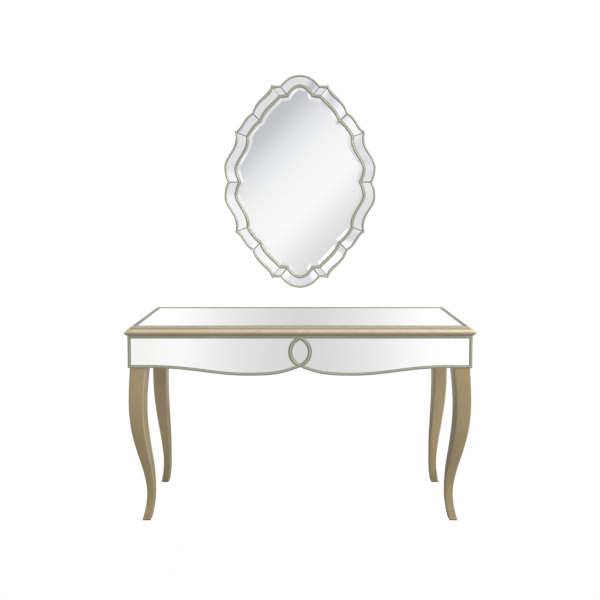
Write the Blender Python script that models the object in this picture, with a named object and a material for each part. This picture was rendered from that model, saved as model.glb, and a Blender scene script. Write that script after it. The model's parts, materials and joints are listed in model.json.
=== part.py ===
"""Vanity table with a wall mirror: a mirrored table on four curved legs, and a scalloped mirror that
hangs on the wall above it. Run it with: blender --background --python part.py

Metres, +Z up. The table's front faces -Y and its back edge stands at the wall, at +Y. The origin is on
the floor, in the middle of the table. The mirror's bumpers and the table's back edge touch one plane.
"""

import math

import bmesh
import bpy
from mathutils import Matrix, Vector
from mathutils.geometry import interpolate_bezier

# ---- driving dimensions: table ----
TABLE_WIDTH = 1.370
TABLE_DEPTH = 0.390
TABLE_HEIGHT = 0.798
GAP = 0.0003  # between pieces that touch
JOINT = 0.0004  # between a sheet of glass and the trim round it

# ---- top: a rabbeted moulding round a panel with a sheet of mirror on it ----
NOSE_RADIUS = 0.0122  # half-round nose of the moulding
COVE_WIDTH = 0.0068  # hollow between the nose and the land
LAND_WIDTH = 0.0070  # flat strip beside the glass
COVE_DROP = 0.0076  # from the land down to the top of the nose
LEDGE_WIDTH = 0.010  # rabbet that the panel rests on
GLASS = 0.004
GLASS_SUNK = 0.0005  # the glass lies this far under the land
TOP_PANEL = 0.016

# ---- apron: four boards, mirrored on the front and the ends ----
OVERHANG = 0.0088  # the nose stands out this far beyond the trim
TRIM = 0.006  # thickness of the trim strips
APRON_BOARD = 0.015
APRON_HEIGHT = 0.1288  # at the corners, from the moulding down
TOP_TRIM_WIDTH = 0.0117
END_TRIM_WIDTH = 0.013
LOWER_TRIM_WIDTH = 0.012

# ---- front ribbon: the lower edge sweeps down and up, crosses its twin and turns round the lens ----
RIBBON_WIDTH = 0.016  # at the lens
CORNER_LAND = 0.078  # level stretch over each leg
LOBE_DROP = 0.0307  # lowest point of the sweep below the corner
LOBE_REACH = 0.205  # lowest point's distance from the middle
LENS_RADIUS = 0.059
LENS_SHIFT = 0.0205  # each arc's centre lies this far beyond the middle
RIBBON_END = 0.024  # the left ribbon ends this far beyond the middle, in the top trim
SWEEP_STEPS = 12

# ---- legs: square section, curved on the diagonal: (share of the leg's height, inset, side) ----
LEG_STATIONS = (
    (0.000, 0.0475, 0.0325),
    (0.094, 0.0590, 0.0305),
    (0.188, 0.0615, 0.0300),
    (0.314, 0.0510, 0.0372),
    (0.456, 0.0320, 0.0468),
    (0.597, 0.0165, 0.0543),
    (0.738, 0.0095, 0.0585),
    (0.880, 0.0105, 0.0617),
    (1.000, 0.0138, 0.0650),
)
LEG_STEPS = 3  # rings between two stations
LEG_ROUNDING = 0.11  # corner radius as a share of the side
POST_SIDE = 0.044  # square post inside the apron's corner
POST_CHAMFER = 0.016
POST_HEADROOM = 0.004

# ---- corner brackets ----
PLATE = 0.0025
BRACKET_HEIGHT = 0.056
BRACKET_REACH = 0.104  # where the diagonal meets each apron, from the inner corner
BRACKET_FLANGE = 0.022
BOLT_HOLE_RADIUS = 0.0045

# ---- mirror ----
MIRROR_RISE = 0.091  # from the table's top up to the mirror
MIRROR_HALF_HEIGHT = 0.4915
INNER_HALF_HEIGHT = 0.4460  # to the inner rim's outer edge
BUMPER = 0.0077
BUMPER_RADIUS = 0.008
BUMPER_X = 0.110
BUMPER_DROP = 0.340  # below the mirror's centre
BOARD = 0.012
BORDER_EDGE = 0.010  # board's thickness at the outer rim
BORDER_RISE = 0.005  # the border climbs this much towards the inner rim
OUTER_RIM_WIDTH = 0.0085
OUTER_RIM_DEPTH = 0.018
INNER_RIM_WIDTH = 0.013
INNER_RIM_FRONT = 0.022  # from the back of the board
CENTRE_GLASS = 0.005
CENTRE_EDGE = 0.0025
CENTRE_BEVEL = 0.014
RIM_SOFTENING = 0.0025
SEAM = 0.0010  # between two pieces of the border

# ---- hangers: a strap with a rolled eye, and a ring that swings in it ----
HANGER_X = 0.150
HANGER_RISE = 0.250  # above the mirror's centre
STRAP_WIDTH = 0.014
STRAP_LENGTH = 0.042
STRAP = 0.0012
WIRE_RADIUS = 0.0015
EYE_CLEARANCE = 0.0004
RING_HALF_WIDTH = 0.013
RING_DROP = 0.024

# ---- worked out from the sizes above ----
FRONT = -TABLE_DEPTH / 2
WALL = TABLE_DEPTH / 2
MOULDING_WIDTH = NOSE_RADIUS + COVE_WIDTH + LAND_WIDTH
MOULDING_HEIGHT = COVE_DROP + 2 * NOSE_RADIUS
APRON_TOP = TABLE_HEIGHT - MOULDING_HEIGHT - GAP
APRON_BOTTOM = APRON_TOP - APRON_HEIGHT
TRIM_HALF_WIDTH = TABLE_WIDTH / 2 - OVERHANG
TRIM_HALF_DEPTH = TABLE_DEPTH / 2 - OVERHANG
BOARD_HALF_WIDTH = TRIM_HALF_WIDTH - TRIM - GAP
BOARD_HALF_DEPTH = TRIM_HALF_DEPTH - TRIM - GAP
TRIM_TOP = APRON_TOP - TOP_TRIM_WIDTH  # lower edge of the top trim
TRIM_BOTTOM = APRON_BOTTOM + LOWER_TRIM_WIDTH  # upper edge of the lower trim
LENS_MIDDLE = APRON_TOP - TOP_TRIM_WIDTH / 2 - LENS_RADIUS
CROSSING_RISE = math.sqrt(LENS_RADIUS**2 - LENS_SHIFT**2)
MIRROR_CENTRE = TABLE_HEIGHT + MIRROR_RISE + MIRROR_HALF_HEIGHT
BOARD_BACK = WALL - BUMPER - GAP


# ---- scene helpers ----
def clear_scene():
    for obj in list(bpy.data.objects):
        bpy.data.objects.remove(obj)


def new_collection(name):
    made = bpy.data.collections.new(name)
    bpy.context.scene.collection.children.link(made)
    return made


def new_material(name, colour, roughness, metallic=0.0):
    made = bpy.data.materials.new(name)
    made.use_nodes = True
    shader = made.node_tree.nodes["Principled BSDF"]
    shader.inputs["Base Color"].default_value = (*colour, 1.0)
    shader.inputs["Roughness"].default_value = roughness
    shader.inputs["Metallic"].default_value = metallic
    return made


def add(obj, material=None, smooth=False):
    """Links an object: a part if it has a material, otherwise a cutter that isn't built."""
    if material is None:
        cutters.objects.link(obj)
        obj.hide_render = True
        obj.display_type = "WIRE"
        return obj
    parts.objects.link(obj)
    obj.data.materials.clear()
    obj.data.materials.append(material)
    if smooth and obj.type == "MESH":
        obj.data.shade_smooth()
        obj.data.set_sharp_from_angle(angle=math.radians(35))
    return obj


def object_from(name, bm):
    bmesh.ops.remove_doubles(bm, verts=bm.verts, dist=1e-6)
    bmesh.ops.recalc_face_normals(bm, faces=bm.faces)
    mesh = bpy.data.meshes.new(name)
    bm.to_mesh(mesh)
    bm.free()
    return bpy.data.objects.new(name, mesh)


def meshed(obj):
    """A curve object made a mesh in the same place, with its caps welded on."""
    scene = bpy.context.scene.collection
    scene.objects.link(obj)
    bpy.context.view_layer.update()
    graph = bpy.context.evaluated_depsgraph_get()
    mesh = bpy.data.meshes.new_from_object(obj.evaluated_get(graph))
    bm = bmesh.new()
    bm.from_mesh(mesh)
    name, place = obj.name, obj.matrix_world.copy()
    bpy.data.objects.remove(obj)
    bpy.data.meshes.remove(mesh)
    made = object_from(name, bm)
    made.name = name
    made.matrix_world = place
    return made


def flat_curve(name, outline, thickness):
    """A flat outline in the local XY plane, with half its thickness to each side."""
    curve = bpy.data.curves.new(name, "CURVE")
    curve.dimensions = "2D"
    curve.fill_mode = "BOTH"
    curve.extrude = thickness / 2
    spline = curve.splines.new("POLY")
    spline.points.add(len(outline) - 1)
    for point, (x, y) in zip(spline.points, outline):
        point.co = (x, y, 0, 1)
    spline.use_cyclic_u = True
    return bpy.data.objects.new(name, curve)


def upright_plate(name, outline, thickness, front):
    """An outline of (x, z) points as a plate whose front face lies at y = front."""
    plate = flat_curve(name, outline, thickness)
    plate.matrix_world = Matrix.Translation((0, front + thickness / 2, 0)) @ Matrix.Rotation(
        math.pi / 2, 4, "X"
    )
    return meshed(plate)


def block(name, low, high):
    bm = bmesh.new()
    bmesh.ops.create_cube(bm, size=1)
    size = Vector(high) - Vector(low)
    centre = (Vector(high) + Vector(low)) / 2
    bmesh.ops.scale(bm, vec=size, verts=bm.verts)
    bmesh.ops.translate(bm, vec=centre, verts=bm.verts)
    return object_from(name, bm)


def rectangle(left, right, bottom, top):
    return [(left, bottom), (right, bottom), (right, top), (left, top)]


def cut(obj, *tools):
    for tool in tools:
        modifier = obj.modifiers.new("cut", "BOOLEAN")
        modifier.operation = "DIFFERENCE"
        modifier.object = tool


def loft(name, rings, capped=True):
    """Joins rings of equal length, with a face at each end, or the last ring to the first."""
    bm = bmesh.new()
    made = [[bm.verts.new(point) for point in ring] for ring in rings]
    pairs = list(zip(made, made[1:])) + ([] if capped else [(made[-1], made[0])])
    for lower, upper in pairs:
        for i in range(len(lower)):
            bm.faces.new((lower[i - 1], lower[i], upper[i], upper[i - 1]))
    if capped:
        bm.faces.new(made[0])
        bm.faces.new(made[-1])
    return object_from(name, bm)


def saw(obj, point, away):
    """Cuts an object off at a plane, keeps the side that away points from, and closes the cut."""
    bm = bmesh.new()
    bm.from_mesh(obj.data)
    bm.transform(obj.matrix_world)
    geometry = bm.verts[:] + bm.edges[:] + bm.faces[:]
    bmesh.ops.bisect_plane(
        bm, geom=geometry, dist=1e-7, plane_co=point, plane_no=away, clear_outer=True
    )
    bmesh.ops.holes_fill(bm, edges=[edge for edge in bm.edges if edge.is_boundary], sides=0)
    bm.to_mesh(obj.data)
    bm.free()
    obj.matrix_world = Matrix.Identity(4)


# ---- plane geometry ----
def arc(centre, radius, start, end, steps):
    angles = [math.radians(start + (end - start) * i / steps) for i in range(steps + 1)]
    return [(centre[0] + radius * math.cos(a), centre[1] + radius * math.sin(a)) for a in angles]


def sweep(start, start_turn, end, end_turn, steps):
    """A curve from start to end. Each turn is (heading in degrees, handle length)."""
    handles = []
    for (x, y), (heading, length), sign in ((start, start_turn, 1), (end, end_turn, -1)):
        a = math.radians(heading)
        handles.append((x + sign * length * math.cos(a), y + sign * length * math.sin(a)))
    ends = [(*point, 0) for point in (start, *handles, end)]
    return [(p.x, p.y) for p in interpolate_bezier(*ends, steps + 1)]


def shifted(path, distances):
    """An open path moved to its left, by a distance for each point."""
    points = [Vector(point) for point in path]
    runs = [(b - a).normalized() for a, b in zip(points, points[1:])]
    moved = []
    for point, before, after, distance in zip(points, [runs[0], *runs], [*runs, runs[-1]], distances):
        middle = (before + after).normalized()
        reach = distance / middle.dot(before)
        moved.append((point.x - middle.y * reach, point.y + middle.x * reach))
    return moved


def band(path, widths):
    """The closed outline of a strip of these widths along a path."""
    left = shifted(path, [w / 2 for w in widths])
    right = shifted(path, [-w / 2 for w in widths])
    return left + right[::-1]


def flipped(points):
    """The mirror image, left for right, of (x, z) or (x, y, z) points."""
    return [(-point[0], *point[1:]) for point in points]


# ---- table top ----
def moulding_profile():
    """(inset from the nose, height) round the moulding's section, from the land outwards and down."""
    nose_middle = TABLE_HEIGHT - COVE_DROP - NOSE_RADIUS
    nose_top = TABLE_HEIGHT - COVE_DROP
    land_edge = NOSE_RADIUS + COVE_WIDTH
    ledge = TABLE_HEIGHT - GLASS_SUNK - GLASS - GAP - TOP_PANEL - GAP
    cove = sweep(
        (land_edge, TABLE_HEIGHT - 0.0025), (-90, 0.002), (NOSE_RADIUS, nose_top), (180, 0.004), 4
    )
    nose = arc((NOSE_RADIUS, nose_middle), NOSE_RADIUS, 90, 270, 10)
    base = nose_middle - NOSE_RADIUS
    inner = MOULDING_WIDTH + LEDGE_WIDTH
    return (
        [(MOULDING_WIDTH, TABLE_HEIGHT), (land_edge, TABLE_HEIGHT)]
        + cove[:-1]
        + nose
        + [(inner, base), (inner, ledge), (MOULDING_WIDTH, ledge)]
    )


def make_moulding(name, turn, length, reach):
    """One rail of the frame: reach is from the middle to its nose, turn is about the vertical."""
    rail = flat_curve(name, moulding_profile(), length)
    # The profile's x becomes the inset towards the middle, its y the height.
    rail.matrix_world = (
        Matrix.Rotation(turn, 4, "Z")
        @ Matrix.Translation((0, -reach, 0))
        @ Matrix.Rotation(math.pi / 2, 4, "Z")
        @ Matrix.Rotation(math.pi / 2, 4, "X")
    )
    rail = meshed(rail)
    around = Matrix.Rotation(turn, 4, "Z")
    for side in (-1, 1):
        corner = around @ Vector((side * (length / 2 - GAP), -reach, 0))
        # The saw runs in from the corner at 45 degrees and keeps the rail's middle.
        saw(rail, corner, around @ Vector((side, 1, 0)))
    add(rail, champagne, smooth=True)


def make_mouldings():
    half_turn = math.pi
    make_moulding("front_moulding", 0, TABLE_WIDTH, TABLE_DEPTH / 2)
    make_moulding("back_moulding", half_turn, TABLE_WIDTH, TABLE_DEPTH / 2)
    make_moulding("right_moulding", half_turn / 2, TABLE_DEPTH, TABLE_WIDTH / 2)
    make_moulding("left_moulding", -half_turn / 2, TABLE_DEPTH, TABLE_WIDTH / 2)


def make_top():
    make_mouldings()
    glass_x = TABLE_WIDTH / 2 - MOULDING_WIDTH - JOINT
    glass_y = TABLE_DEPTH / 2 - MOULDING_WIDTH - JOINT
    glass_top = TABLE_HEIGHT - GLASS_SUNK
    panel_top = glass_top - GLASS - GAP
    sheet = block("top_glass", (-glass_x, -glass_y, glass_top - GLASS), (glass_x, glass_y, glass_top))
    panel = block("top_panel", (-glass_x, -glass_y, panel_top - TOP_PANEL), (glass_x, glass_y, panel_top))
    add(sheet, mirror)
    add(panel, fibreboard)


# ---- front of the apron ----
def lower_sweep():
    """Centre line of the ribbon from the left corner to the crossing in the middle."""
    level = APRON_BOTTOM + LOWER_TRIM_WIDTH / 2
    land_end = (-TRIM_HALF_WIDTH + CORNER_LAND, level)
    lowest = (-LOBE_REACH, level - LOBE_DROP)
    crossing = (0.0, LENS_MIDDLE - CROSSING_RISE)
    rise = math.degrees(math.asin(LENS_SHIFT / LENS_RADIUS))
    run = lowest[0] - land_end[0]
    down = sweep(land_end, (0, run * 0.46), lowest, (0, run * 0.35), SWEEP_STEPS)
    up = sweep(lowest, (0, LOBE_REACH * 0.50), crossing, (rise, LOBE_REACH * 0.38), SWEEP_STEPS)
    return [(-TRIM_HALF_WIDTH, level)] + down + up[1:]


def lens_arc():
    """Centre line of the arc on the right of the lens, from the lower crossing to the top trim."""
    start = -math.degrees(math.acos(LENS_SHIFT / LENS_RADIUS))
    turn = arc((-LENS_SHIFT, LENS_MIDDLE), LENS_RADIUS, start, 90, 2 * SWEEP_STEPS)
    return [*turn, (-RIBBON_END, LENS_MIDDLE + LENS_RADIUS)]


def arc_widths(path):
    """Each arc grows from the lower trim's width to its own, and narrows again into the top trim."""
    widths = []
    for _, z in path:
        below = min(max((LENS_MIDDLE - z) / CROSSING_RISE - 0.5, 0.0) / 0.5, 1.0)
        above = min(max((z - LENS_MIDDLE) / LENS_RADIUS - 0.6, 0.0) / 0.4, 1.0)
        narrower = (RIBBON_WIDTH - LOWER_TRIM_WIDTH) * below + (RIBBON_WIDTH - TOP_TRIM_WIDTH) * above
        widths.append(RIBBON_WIDTH - narrower)
    return widths


def trim_plate(name, outline):
    return upright_plate(name, outline, TRIM, -TRIM_HALF_DEPTH)


def trim_cutter(name, outline):
    """A plate thick enough to cut trim and glass right through."""
    return add(upright_plate(name, outline, 4 * TRIM, -TRIM_HALF_DEPTH - 1.5 * TRIM))


def wider(widths, clearance):
    return [w + 2 * clearance for w in widths]


def make_ribbons():
    """The left ribbon runs unbroken into the lens's right arc. Its twin is cut where it passes under.

    Returns the cutters for the glass beside the two ribbons, and for the top trim beside the lens."""
    sweep_path = lower_sweep()
    arc_path = lens_arc()
    whole = sweep_path + arc_path[1:]
    sweep_widths = [LOWER_TRIM_WIDTH] * len(sweep_path)
    whole_widths = sweep_widths + arc_widths(arc_path[1:])
    add(trim_plate("left_ribbon", band(whole, whole_widths)), champagne)

    over = trim_cutter("over_cutter", band(whole, wider(whole_widths, GAP)))
    right = trim_plate("right_ribbon", flipped(band(sweep_path, sweep_widths)))
    saw(right, (LENS_SHIFT / 2, 0, 0), (-1, 0, 0))
    cut(right, over)
    add(right, champagne)

    top_end = LENS_MIDDLE + CROSSING_RISE
    left_arc = flipped([point for point in arc_path if point[1] < top_end])
    left_widths = arc_widths(left_arc)
    left = trim_plate("lens_left_arc", band(left_arc, left_widths))
    cut(left, over)
    add(left, champagne)
    under = trim_cutter("under_cutter", band(left_arc, wider(left_widths, GAP)))
    beside = band(whole, wider(whole_widths, JOINT))
    glass_cutters = (
        trim_cutter("left_glass_cutter", beside),
        trim_cutter("right_glass_cutter", flipped(beside)),
    )
    return glass_cutters, (over, under)


def make_straight_trims(over, under):
    """The strips above the glass and at its two ends."""
    left_end = -RIBBON_END - GAP
    left = trim_plate("left_top_trim", rectangle(-TRIM_HALF_WIDTH, left_end, TRIM_TOP, APRON_TOP))
    right = trim_plate("right_top_trim", rectangle(0.0, TRIM_HALF_WIDTH, TRIM_TOP, APRON_TOP))
    cut(left, under)
    cut(right, over)
    add(left, champagne)
    add(right, champagne)
    for side, name in ((-1, "left_end_trim"), (1, "right_end_trim")):
        edges = sorted((side * TRIM_HALF_WIDTH, side * (TRIM_HALF_WIDTH - END_TRIM_WIDTH)))
        add(trim_plate(name, rectangle(*edges, TRIM_BOTTOM + GAP, TRIM_TOP - GAP)), champagne)


def make_front_glass(left_cutter, right_cutter):
    """Two panes and the lens. Each starts out to the middle of its trim and is cut back to it."""
    front = -TRIM_HALF_DEPTH + TRIM - GLASS
    inner_end = TRIM_HALF_WIDTH - END_TRIM_WIDTH - JOINT
    glass_top = TRIM_TOP - JOINT
    lower = [point for point in lower_sweep() if point[0] > -inner_end]
    arc_up = flipped([point for point in lens_arc() if point[1] < glass_top])
    level = lower_sweep()[0][1]
    outline = [(-inner_end, level)] + lower + arc_up[1:] + [(arc_up[-1][0], glass_top), (-inner_end, glass_top)]
    for name, points in (("front_glass_left", outline), ("front_glass_right", flipped(outline))):
        pane = upright_plate(name, points, GLASS, front)
        cut(pane, left_cutter, right_cutter)
        add(pane, mirror)
    inner = LENS_RADIUS - RIBBON_WIDTH / 2 - JOINT
    half_angle = math.degrees(math.acos(LENS_SHIFT / inner))
    right_side = arc((-LENS_SHIFT, LENS_MIDDLE), inner, -half_angle, half_angle, 2 * SWEEP_STEPS)
    left_side = flipped(right_side)[::-1]
    add(upright_plate("lens_glass", right_side[:-1] + left_side[:-1], GLASS, front), mirror)


def make_aprons():
    """The front board follows the ribbon's lower edge. The other three are straight."""
    path = lower_sweep()
    below = shifted(path, [-LOWER_TRIM_WIDTH / 2] * len(path))
    edge = [point for point in below if -BOARD_HALF_WIDTH < point[0] < -GAP]
    middle = (0.0, edge[-1][1] + (0 - edge[-1][0]) * LENS_SHIFT / CROSSING_RISE)
    lower = [(-BOARD_HALF_WIDTH, APRON_BOTTOM)] + edge + [middle]
    outline = lower + flipped(lower[:-1])[::-1]
    outline += [(BOARD_HALF_WIDTH, APRON_TOP), (-BOARD_HALF_WIDTH, APRON_TOP)]
    add(upright_plate("front_apron", outline, APRON_BOARD, -BOARD_HALF_DEPTH), champagne)

    inner_y = BOARD_HALF_DEPTH - APRON_BOARD
    back_low = (-BOARD_HALF_WIDTH, inner_y, APRON_BOTTOM)
    add(block("back_apron", back_low, (BOARD_HALF_WIDTH, BOARD_HALF_DEPTH, APRON_TOP)), champagne)
    for side, name in ((-1, "left_apron"), (1, "right_apron")):
        x_low, x_high = sorted((side * BOARD_HALF_WIDTH, side * (BOARD_HALF_WIDTH - APRON_BOARD)))
        low = (x_low, -inner_y + GAP, APRON_BOTTOM)
        add(block(name, low, (x_high, inner_y - GAP, APRON_TOP)), champagne)


def make_end_panels():
    """A frame of trim with a pane in it on each end of the table."""
    front = -TRIM_HALF_DEPTH + TRIM + GAP
    back = BOARD_HALF_DEPTH
    low_z, high_z = APRON_BOTTOM, APRON_TOP
    opening = (front + END_TRIM_WIDTH, back - END_TRIM_WIDTH, TRIM_BOTTOM, TRIM_TOP)
    for side, word in ((-1, "left"), (1, "right")):
        face = side * TRIM_HALF_WIDTH
        x_low, x_high = sorted((face, face - side * TRIM))
        frame = block(f"{word}_end_frame", (x_low, front, low_z), (x_high, back, high_z))
        hole_low = (x_low - TRIM, opening[0], opening[2])
        hole = block(f"{word}_end_cutter", hole_low, (x_high + TRIM, opening[1], opening[3]))
        cut(frame, add(hole))
        add(frame, champagne)
        pane_face = face - side * (TRIM - GLASS)
        p_low, p_high = sorted((pane_face, pane_face - side * GLASS))
        pane = block(
            f"{word}_end_glass",
            (p_low, opening[0] + JOINT, opening[2] + JOINT),
            (p_high, opening[1] - JOINT, opening[3] - JOINT),
        )
        add(pane, mirror)


# ---- legs ----
def rounded_square(inset, side, height):
    """Twelve points of a square section in the corner's own frame, x and y running inwards."""
    radius = side * LEG_ROUNDING
    low, high = inset + radius, inset + side - radius
    corners = (((high, high), 0), ((low, high), 90), ((low, low), 180), ((high, low), 270))
    points = []
    for centre, start in corners:
        points += arc(centre, radius, start, start + 90, 2)
    return [(x, y, height) for x, y in points]


def leg_sections():
    """(height, inset of the outer faces, side) at every ring, on a smooth curve through the stations."""
    leg_height = APRON_BOTTOM - GAP
    stations = [Vector((share * leg_height, inset, side)) for share, inset, side in LEG_STATIONS]
    slopes = []
    for i, here in enumerate(stations):
        before, after = stations[max(i - 1, 0)], stations[min(i + 1, len(stations) - 1)]
        slopes.append((after - before) / (after.x - before.x))
    sections = []
    for (a, slope_a), (b, slope_b) in zip(zip(stations, slopes), zip(stations[1:], slopes[1:])):
        third = (b.x - a.x) / 3
        sections += interpolate_bezier(a, a + slope_a * third, b - slope_b * third, b, LEG_STEPS + 1)[:-1]
    return [*sections, stations[-1]]


def leg_mesh():
    """The curved leg with its shoulder under the apron and the post that stands inside it."""
    rings = [rounded_square(s.y, s.z, s.x) for s in leg_sections()]
    inner_face = TABLE_WIDTH / 2 - BOARD_HALF_WIDTH + APRON_BOARD
    low, high = inner_face + GAP, inner_face + GAP + POST_SIDE
    shoulder = rings[-1][0][2]
    chamfered = high - POST_CHAMFER
    post = [(high, chamfered)] * 2 + [(chamfered, high)] + [(low, high)] * 3 + [(low, low)] * 3 + [(high, low)] * 3
    post_top = APRON_TOP - POST_HEADROOM
    body = loft("leg", rings)
    column = [(x, y) for i, (x, y) in enumerate(post) if i == 0 or (x, y) != post[i - 1]]
    post_rings = [[(x, y, z) for x, y in column] for z in (shoulder - 0.002, post_top)]
    tenon = loft("post", post_rings)
    join = body.modifiers.new("post", "BOOLEAN")
    join.operation = "UNION"
    join.object = tenon
    add(tenon)
    cutters.objects.link(body)
    bpy.context.view_layer.update()
    graph = bpy.context.evaluated_depsgraph_get()
    mesh = bpy.data.meshes.new_from_object(body.evaluated_get(graph))
    bpy.data.objects.remove(body)
    bpy.data.objects.remove(tenon)
    return mesh


def corner_matrix(corner):
    """Places the corner's frame: 0 front left, 1 front right, 2 back right, 3 back left."""
    signs = ((-1, -1), (1, -1), (1, 1), (-1, 1))[corner]
    place = Matrix.Translation((signs[0] * TABLE_WIDTH / 2, signs[1] * TABLE_DEPTH / 2, 0))
    return place @ Matrix.Rotation(corner * math.pi / 2, 4, "Z")


CORNERS = ("front_left", "front_right", "back_right", "back_left")


def make_legs():
    mesh = leg_mesh()
    for corner, where in enumerate(CORNERS):
        leg = bpy.data.objects.new(f"{where}_leg", mesh)
        leg.matrix_world = corner_matrix(corner)
        add(leg, champagne, smooth=True)


# ---- corner brackets ----
def make_brackets():
    """Bent plates across the corners, each with a hole for the bolt into its leg."""
    inner = TABLE_WIDTH / 2 - BOARD_HALF_WIDTH + APRON_BOARD + GAP + PLATE / 2
    reach = inner + BRACKET_REACH
    path = [(reach + BRACKET_FLANGE, inner), (reach, inner), (inner, reach), (inner, reach + BRACKET_FLANGE)]
    middle_z = APRON_TOP - POST_HEADROOM - BRACKET_HEIGHT / 2 - 0.006
    for corner, where in enumerate(CORNERS):
        plate = flat_curve(f"{where}_bracket", band(path, [PLATE] * 4), BRACKET_HEIGHT)
        plate.matrix_world = corner_matrix(corner) @ Matrix.Translation((0, 0, middle_z))
        plate = meshed(plate)
        bm = bmesh.new()
        bmesh.ops.create_cone(
            bm, cap_ends=True, segments=16, radius1=BOLT_HOLE_RADIUS, radius2=BOLT_HOLE_RADIUS, depth=8 * PLATE
        )
        drill = object_from(f"{where}_drill", bm)
        middle = (reach + inner) / 2
        drill.matrix_world = (
            corner_matrix(corner)
            @ Matrix.Translation((middle, middle, middle_z))
            @ Matrix.Rotation(math.pi / 4, 4, "Z")
            @ Matrix.Rotation(math.pi / 2, 4, "Y")
        )
        cut(plate, add(drill))
        add(plate, steel)


# ---- mirror outline ----
# Headings in degrees and handle lengths shape each stretch, clockwise from the top in one quarter.
# A stretch is (end point, heading and handle at its start, heading and handle at its end, steps, seam).
OUTER_QUARTER = (
    ((0.0905, 0.4425), (-2, 0.0484), (-50, 0.0286), 5, True),  # top lobe
    ((0.1310, 0.4475), (2, 0.0220), (38, 0.0110), 3, True),  # shoulder, up to the pointed tip
    ((0.2205, 0.3170), (-80, 0.0485), (-74, 0.0755), 6, True),  # down to the upper notch
    ((0.3005, 0.2325), (-26, 0.0468), (-20, 0.0335), 5, True),  # out to the side tip
    ((0.3493, 0.0625), (-105, 0.0815), (-94, 0.0580), 7, False),  # side lobe
    ((0.3338, 0.0000), (-91, 0.0277), (-116, 0.0211), 3, True),  # in to the middle notch
)
INNER_QUARTER = (
    ((0.0618, 0.4015), (0, 0.0268), (-59, 0.0262), 5, True),
    ((0.0963, 0.3988), (-1, 0.0132), (5, 0.0152), 3, True),
    ((0.1867, 0.2845), (-53, 0.0395), (-77, 0.0490), 6, True),
    ((0.2482, 0.2108), (-31, 0.0282), (-60, 0.0288), 5, True),
    ((0.3022, 0.0618), (-101, 0.0585), (-88, 0.0360), 7, False),
    ((0.2848, 0.0000), (-92, 0.0243), (-114, 0.0168), 3, True),
)
OUTER = ((0.0, MIRROR_HALF_HEIGHT), OUTER_QUARTER)
INNER = ((0.0, INNER_HALF_HEIGHT), INNER_QUARTER)


def moved_in(corner, before, after, inset):
    """A corner between two headings, moved to the right of both by the same distance."""
    middle = math.radians((before + after) / 2)
    reach = inset / math.cos(math.radians((after - before) / 2))
    return (corner[0] + reach * math.sin(middle), corner[1] - reach * math.cos(middle))


def outline(shape, inset=0.0):
    """A closed outline, clockwise from the top, moved inwards. Its handles shrink with its stretches."""
    top, quarter = shape
    corner = top
    path = [moved_in(top, 0, 0, inset)]
    for i, (end, start_turn, end_turn, steps, _) in enumerate(quarter):
        after = quarter[i + 1][1][0] if i + 1 < len(quarter) else -180 - end_turn[0]
        moved = moved_in(end, end_turn[0], after, inset)
        scale = math.dist(path[-1], moved) / math.dist(corner, end)
        start_turn = (start_turn[0], start_turn[1] * scale)
        end_turn = (end_turn[0], end_turn[1] * scale)
        path += sweep(path[-1], start_turn, moved, end_turn, steps)[1:]
        corner = end
    right = path + [(x, -z) for x, z in path[-2::-1]]
    return right + flipped(right[-2:0:-1])


def seam_places(shape):
    """Where in the outline its seams are. The one at the middle notch is counted once on each side."""
    place, seams = 0, []
    for *_, steps, seam in shape[1]:
        place += steps
        if seam:
            seams.append(place)
    half = seams + [2 * place - i for i in seams[-2::-1]]
    return half + [4 * place - i for i in half[::-1]]


def ring(shape, inset, height):
    """An outline at a height above the back of the mirror's board."""
    return [(x, BOARD_BACK - height, MIRROR_CENTRE + z) for x, z in outline(shape, inset)]


def make_board():
    """The backing board: its front climbs from the outer rim to the inner one."""
    edge = OUTER_RIM_WIDTH + GAP
    sections = [
        ring(OUTER, edge, 0.0),
        ring(OUTER, edge, BORDER_EDGE),
        ring(INNER, 0.0, BORDER_EDGE + BORDER_RISE),
        ring(INNER, 0.0, BOARD),
    ]
    add(loft("mirror_board", sections), fibreboard)


def make_rim(name, shape, edge, width, foot, front):
    """A flat moulding with softened edges, following an outline from its edge inwards."""
    soft = RIM_SOFTENING
    sections = [
        ring(shape, edge, foot),
        ring(shape, edge, front - soft),
        ring(shape, soft, front),
        ring(shape, width - soft, front),
        ring(shape, width, front - soft),
        ring(shape, width, foot),
    ]
    add(loft(name, sections, capped=False), champagne)


def make_centre_glass():
    start = INNER_RIM_WIDTH + JOINT
    foot = BOARD + GAP
    sections = [
        ring(INNER, start, foot),
        ring(INNER, start, foot + CENTRE_EDGE),
        ring(INNER, start + CENTRE_BEVEL, foot + CENTRE_GLASS),
    ]
    add(loft("centre_glass", sections), mirror)


BORDER_NAMES = (
    "shoulder", "upper_long", "upper_short", "upper_side",
    "lower_side", "lower_short", "lower_long", "foot",
)  # fmt: skip


def border_names():
    right = [f"border_{name}_right" for name in BORDER_NAMES]
    left = [f"border_{name}_left" for name in BORDER_NAMES[::-1]]
    return [*right, "border_bottom", *left, "border_top"]


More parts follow.
